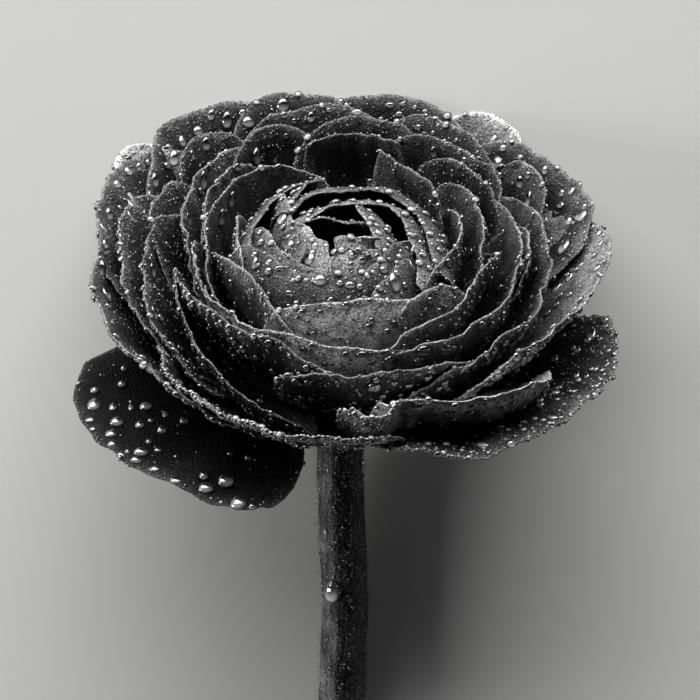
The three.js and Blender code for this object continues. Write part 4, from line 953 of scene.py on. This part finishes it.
# The large drops, each by the pixel where the photograph shows it and its width and height there in pixels.
DROP_PIXELS = [
    (211, 115, 8, 12), (227, 120, 11, 19), (248, 122, 14, 14), (283, 105, 14, 16), (198, 131, 12, 12),
    (182, 141, 8, 13), (206, 144, 10, 15), (192, 155, 7, 10), (174, 158, 11, 18), (155, 180, 8, 15),
    (203, 180, 10, 17), (128, 171, 10, 11), (139, 167, 7, 10), (117, 184, 9, 10), (109, 214, 8, 13),
    (103, 228, 6, 10), (105, 244, 6, 10), (102, 269, 13, 17), (130, 216, 6, 10), (130, 203, 5, 10),
    (121, 237, 7, 7), (120, 224, 6, 6), (145, 214, 5, 8), (150, 194, 5, 7), (174, 201, 5, 6),
    (152, 270, 9, 13), (153, 245, 6, 9), (188, 219, 7, 11), (256, 156, 14, 16), (277, 169, 13, 13),
    (231, 199, 12, 14), (221, 217, 11, 15), (237, 167, 7, 8), (271, 135, 5, 6), (286, 136, 6, 6),
    (283, 219, 12, 13), (290, 245, 13, 12), (310, 259, 13, 14), (315, 246, 8, 8), (320, 280, 14, 13),
    (255, 263, 7, 13), (269, 271, 6, 6), (311, 117, 8, 12), (294, 121, 6, 6), (284, 115, 8, 8),
    (329, 110, 7, 5), (223, 157, 5, 5), (357, 112, 12, 7), (390, 105, 10, 6), (399, 114, 8, 6),
    (403, 104, 7, 5), (415, 107, 5, 5), (425, 111, 6, 4), (435, 118, 7, 5), (381, 119, 6, 5),
    (427, 119, 5, 4), (418, 127, 8, 6), (438, 125, 5, 4), (454, 128, 5, 4), (456, 140, 6, 5),
    (446, 144, 6, 4), (464, 160, 8, 7), (477, 152, 6, 4), (497, 163, 13, 15), (503, 148, 9, 8),
    (494, 138, 9, 9), (520, 182, 8, 13), (529, 199, 7, 15), (546, 193, 6, 8), (546, 208, 7, 9),
    (545, 220, 6, 8), (545, 170, 7, 10), (562, 193, 7, 8), (572, 191, 8, 9), (561, 205, 10, 7),
    (569, 221, 8, 9), (583, 216, 13, 13), (592, 227, 8, 8), (565, 247, 13, 16), (585, 242, 5, 6),
    (599, 233, 6, 7), (601, 243, 5, 7), (598, 268, 8, 8), (572, 269, 5, 6), (582, 264, 5, 6),
    (434, 152, 8, 12), (452, 173, 5, 7), (446, 185, 5, 5), (481, 185, 5, 5), (490, 185, 5, 5),
    (435, 194, 7, 8), (520, 157, 8, 6), (528, 175, 7, 8), (400, 204, 7, 7), (411, 209, 10, 9),
    (423, 223, 6, 6), (424, 232, 6, 7), (378, 232, 8, 9), (369, 210, 6, 6), (380, 216, 6, 4),
    (401, 253, 5, 8), (413, 248, 4, 8), (412, 265, 5, 12), (394, 282, 12, 20), (360, 250, 6, 8),
    (362, 260, 7, 8), (351, 253, 8, 8), (351, 265, 6, 8), (384, 263, 7, 11), (377, 257, 6, 9),
    (342, 274, 6, 5), (367, 275, 6, 8), (350, 285, 11, 8), (288, 293, 8, 6), (280, 268, 8, 5),
    (306, 280, 6, 5), (293, 280, 6, 5), (303, 307, 8, 5), (267, 317, 12, 9), (330, 308, 5, 5),
    (369, 301, 6, 5), (365, 292, 6, 4), (431, 297, 6, 11), (436, 291, 6, 5), (441, 285, 6, 7),
    (465, 252, 6, 8), (458, 259, 8, 9), (106, 294, 9, 12), (154, 313, 6, 11), (389, 361, 19, 14),
    (362, 355, 14, 9), (424, 350, 15, 11), (447, 349, 15, 11), (420, 360, 14, 10), (393, 326, 10, 13),
    (441, 327, 8, 6), (374, 386, 14, 11), (419, 406, 13, 9), (453, 408, 10, 6), (472, 406, 9, 7),
    (338, 340, 8, 8), (324, 334, 7, 8), (94, 405, 14, 15), (146, 407, 14, 11), (117, 422, 14, 11),
    (140, 425, 10, 9), (162, 430, 10, 9), (113, 407, 8, 10), (131, 407, 6, 9), (165, 414, 6, 10),
    (184, 421, 10, 9), (90, 420, 10, 6), (93, 429, 7, 5), (111, 434, 12, 9), (112, 444, 9, 7),
    (121, 455, 9, 7), (136, 460, 11, 8), (155, 469, 11, 7), (141, 452, 15, 10), (158, 450, 8, 5),
    (176, 481, 12, 7), (206, 488, 15, 12), (226, 481, 17, 16), (239, 503, 17, 16), (592, 335, 10, 15),
    (578, 350, 7, 8), (555, 359, 8, 9), (560, 387, 6, 8), (577, 375, 6, 8), (587, 376, 5, 6),
    (596, 314, 7, 7), (606, 326, 6, 6), (600, 339, 5, 5), (553, 418, 11, 6), (483, 445, 13, 8),
    (570, 277, 7, 10), (558, 287, 5, 11), (476, 285, 5, 4), (484, 284, 5, 4), (460, 310, 5, 4),
    (468, 308, 5, 4), (333, 591, 20, 22), (362, 465, 6, 14), (368, 560, 5, 9), (368, 598, 5, 8),
    (328, 470, 4, 4), (326, 532, 5, 5),
]


def all_faces(pieces):
    """A search tree over the faces of several pieces, in metres, and the tone of each face."""
    vertices, faces, tones = [], [], []
    for piece in pieces:
        start = len(vertices)
        vertices += [v.co for v in piece.data.vertices]
        tone = piece.data.attributes["tone"].data
        for face in piece.data.polygons:
            faces.append([start + i for i in face.vertices])
            tones.append(tone[face.vertices[0]].value)
    return BVHTree.FromPolygons(vertices, faces), tones


def seen_at(surfaces, pixel):
    """The point of the surfaces that the camera sees at a pixel of the photograph, its normal and face."""
    scale = SENSOR_WIDTH / PHOTO_SIDE / camera.data.lens
    aim = Vector(((pixel[0] - PHOTO_SIDE / 2) * scale, (PHOTO_SIDE / 2 - pixel[1]) * scale, -1))
    aim.rotate(camera.rotation_euler)
    return surfaces.ray_cast(camera.location, aim.normalized())[:3]


DROP_RINGS, DROP_SIDES = 9, 18
DROP_FOOT = 108  # degrees from its top to where a drop meets the skin
FOOT_DEPTH = 0.31  # how far below its middle that is, in radii
DROP_SAG = 0.16  # how much wider its lower end is
DROP_SINK = 0.12  # how much of its height is in the skin
DROP_HEIGHT = 0.4  # of its width or length, whichever is less


def drop_mesh(place, normal, width, length):
    """A drop of water on a surface, fuller at its lower end: vertices in mm, faces and the vertices' painted
    glow.
    """
    normal = np.array(normal)
    lower = unit(np.array([0, -1.0, 0]) + normal * normal[1])
    side = np.cross(lower, normal)
    slope = np.linspace(0, math.radians(DROP_FOOT), DROP_RINGS + 1)[1:, None]
    turn = np.linspace(0, 2 * math.pi, DROP_SIDES, endpoint=False)[None, :]
    v = np.sin(slope) * np.sin(turn)
    u = np.sin(slope) * np.cos(turn) * (1 + DROP_SAG * v)
    n = np.broadcast_to(np.cos(slope), v.shape)
    points = np.concatenate([[(0, 0, 1)], np.stack([u, v, n], -1).reshape(-1, 3), [(0, 0, -0.5)]])
    height = (points[:, 2:] + FOOT_DEPTH) / (1 + FOOT_DEPTH) - DROP_SINK
    height = height * DROP_HEIGHT * min(width, length)
    vertices = (np.array(place) / MM + points[:, :1] * side * width / 2 + points[:, 1:2] * lower * length / 2
                + height * normal)
    last = len(vertices) - 1
    faces = []
    for k in range(DROP_SIDES):
        after = (k + 1) % DROP_SIDES
        faces += [(0, 1 + k, 1 + after), (last, last - DROP_SIDES + after, last - DROP_SIDES + k)]
        for ring in range(1, (DROP_RINGS - 1) * DROP_SIDES, DROP_SIDES):
            below = ring + DROP_SIDES
            faces.append((ring + k, below + k, below + after, ring + after))
    # a painted glow where the light would gather at the lower side, within a painted dark outline
    outline = np.clip((1.05 - np.hypot(points[:, 0], points[:, 1])) / 0.25, 0.2, 1)
    return vertices, faces, np.clip((points[:, 1] + 0.1) / 0.8, 0, 1) * outline


surfaces, tones = all_faces((*petal_pieces, stem))
large = []
for x, y, width, height in DROP_PIXELS:
    place, normal, face = seen_at(surfaces, (x, y))
    if place is not None:
        width, height = width / PIXELS_PER_MM, height / PIXELS_PER_MM
        facing = 0.6 + 0.4 * abs(normal.z)  # a drop is longer than it looks where the skin is steep
        vertices, faces, glow = drop_mesh(place, normal, width, height / facing)
        count = len(vertices)
        large.append((vertices, faces, glow, np.full(count, tones[face]), np.tile(normal, (count, 1))))
glow, tone, seat = (np.concatenate([drop[i] for drop in large]) for i in (2, 3, 4))
large_drops = make_piece("large_drops", *together(large), {"glow": glow, "tone": tone, "seat": seat})
large_drops.data.materials.append(water)
dew_pieces.append(large_drops)
for piece in dew_pieces:
    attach(piece, "root")

# ---------------------------------------------------------------- floor and light
# A pale matt sheet of paper under the flower. A broad soft light from above and beyond the bloom shines into
# its face, as in the photograph, and leaves the fronts of the near petals dark. A faint one from the left
# draws the stem's edge.
FLOOR_SIDE = 4000
corner = FLOOR_SIDE / 2
corners = [(-corner, -corner, 0), (corner, -corner, 0), (corner, corner, 0), (-corner, corner, 0)]
floor = make_piece("floor", corners, [(0, 1, 2, 3)])
floor_paper, tree = new_material("pale_paper")
shader = add(tree, "ShaderNodeBsdfPrincipled", {"Base Color": colour("#dcdcda"), "Roughness": 0.8})
add(tree, "ShaderNodeOutputMaterial", {"Surface": shader.outputs[0]})
floor.data.materials.append(floor_paper)

LIGHTS = {  # place in mm from the eye, width and height in mm, power in watts
    "key": ((-150, 860, 480), (1500, 900), 20),
    "window": ((-150, 860, 500), (3200, 420), 14),
    "left": ((-900, -60, 120), (200, 700), 6),
    "right": ((700, -90, 20), (60, 500), 0.4),
}
for name, (place, (width, height), power) in LIGHTS.items():
    lamp = bpy.data.objects.new(name, bpy.data.lights.new(name, "AREA"))
    lamp.data.shape = "RECTANGLE"
    lamp.data.size, lamp.data.size_y = width * MM, height * MM
    lamp.data.energy = power
    lamp.location = Vector((EYE + place) * MM)
    lamp.rotation_euler = (Vector(EYE * MM) - lamp.location).to_track_quat("-Z", "Y").to_euler()
    bpy.context.scene.collection.objects.link(lamp)
    lamp.visible_diffuse = name != "window"  # the window only gives gloss to what is wet
world = bpy.data.worlds.new("studio")
world.use_nodes = True
world.node_tree.nodes["Background"].inputs["Color"].default_value = colour("#ffffff")
world.node_tree.nodes["Background"].inputs["Strength"].default_value = 0.025
bpy.context.scene.world = world
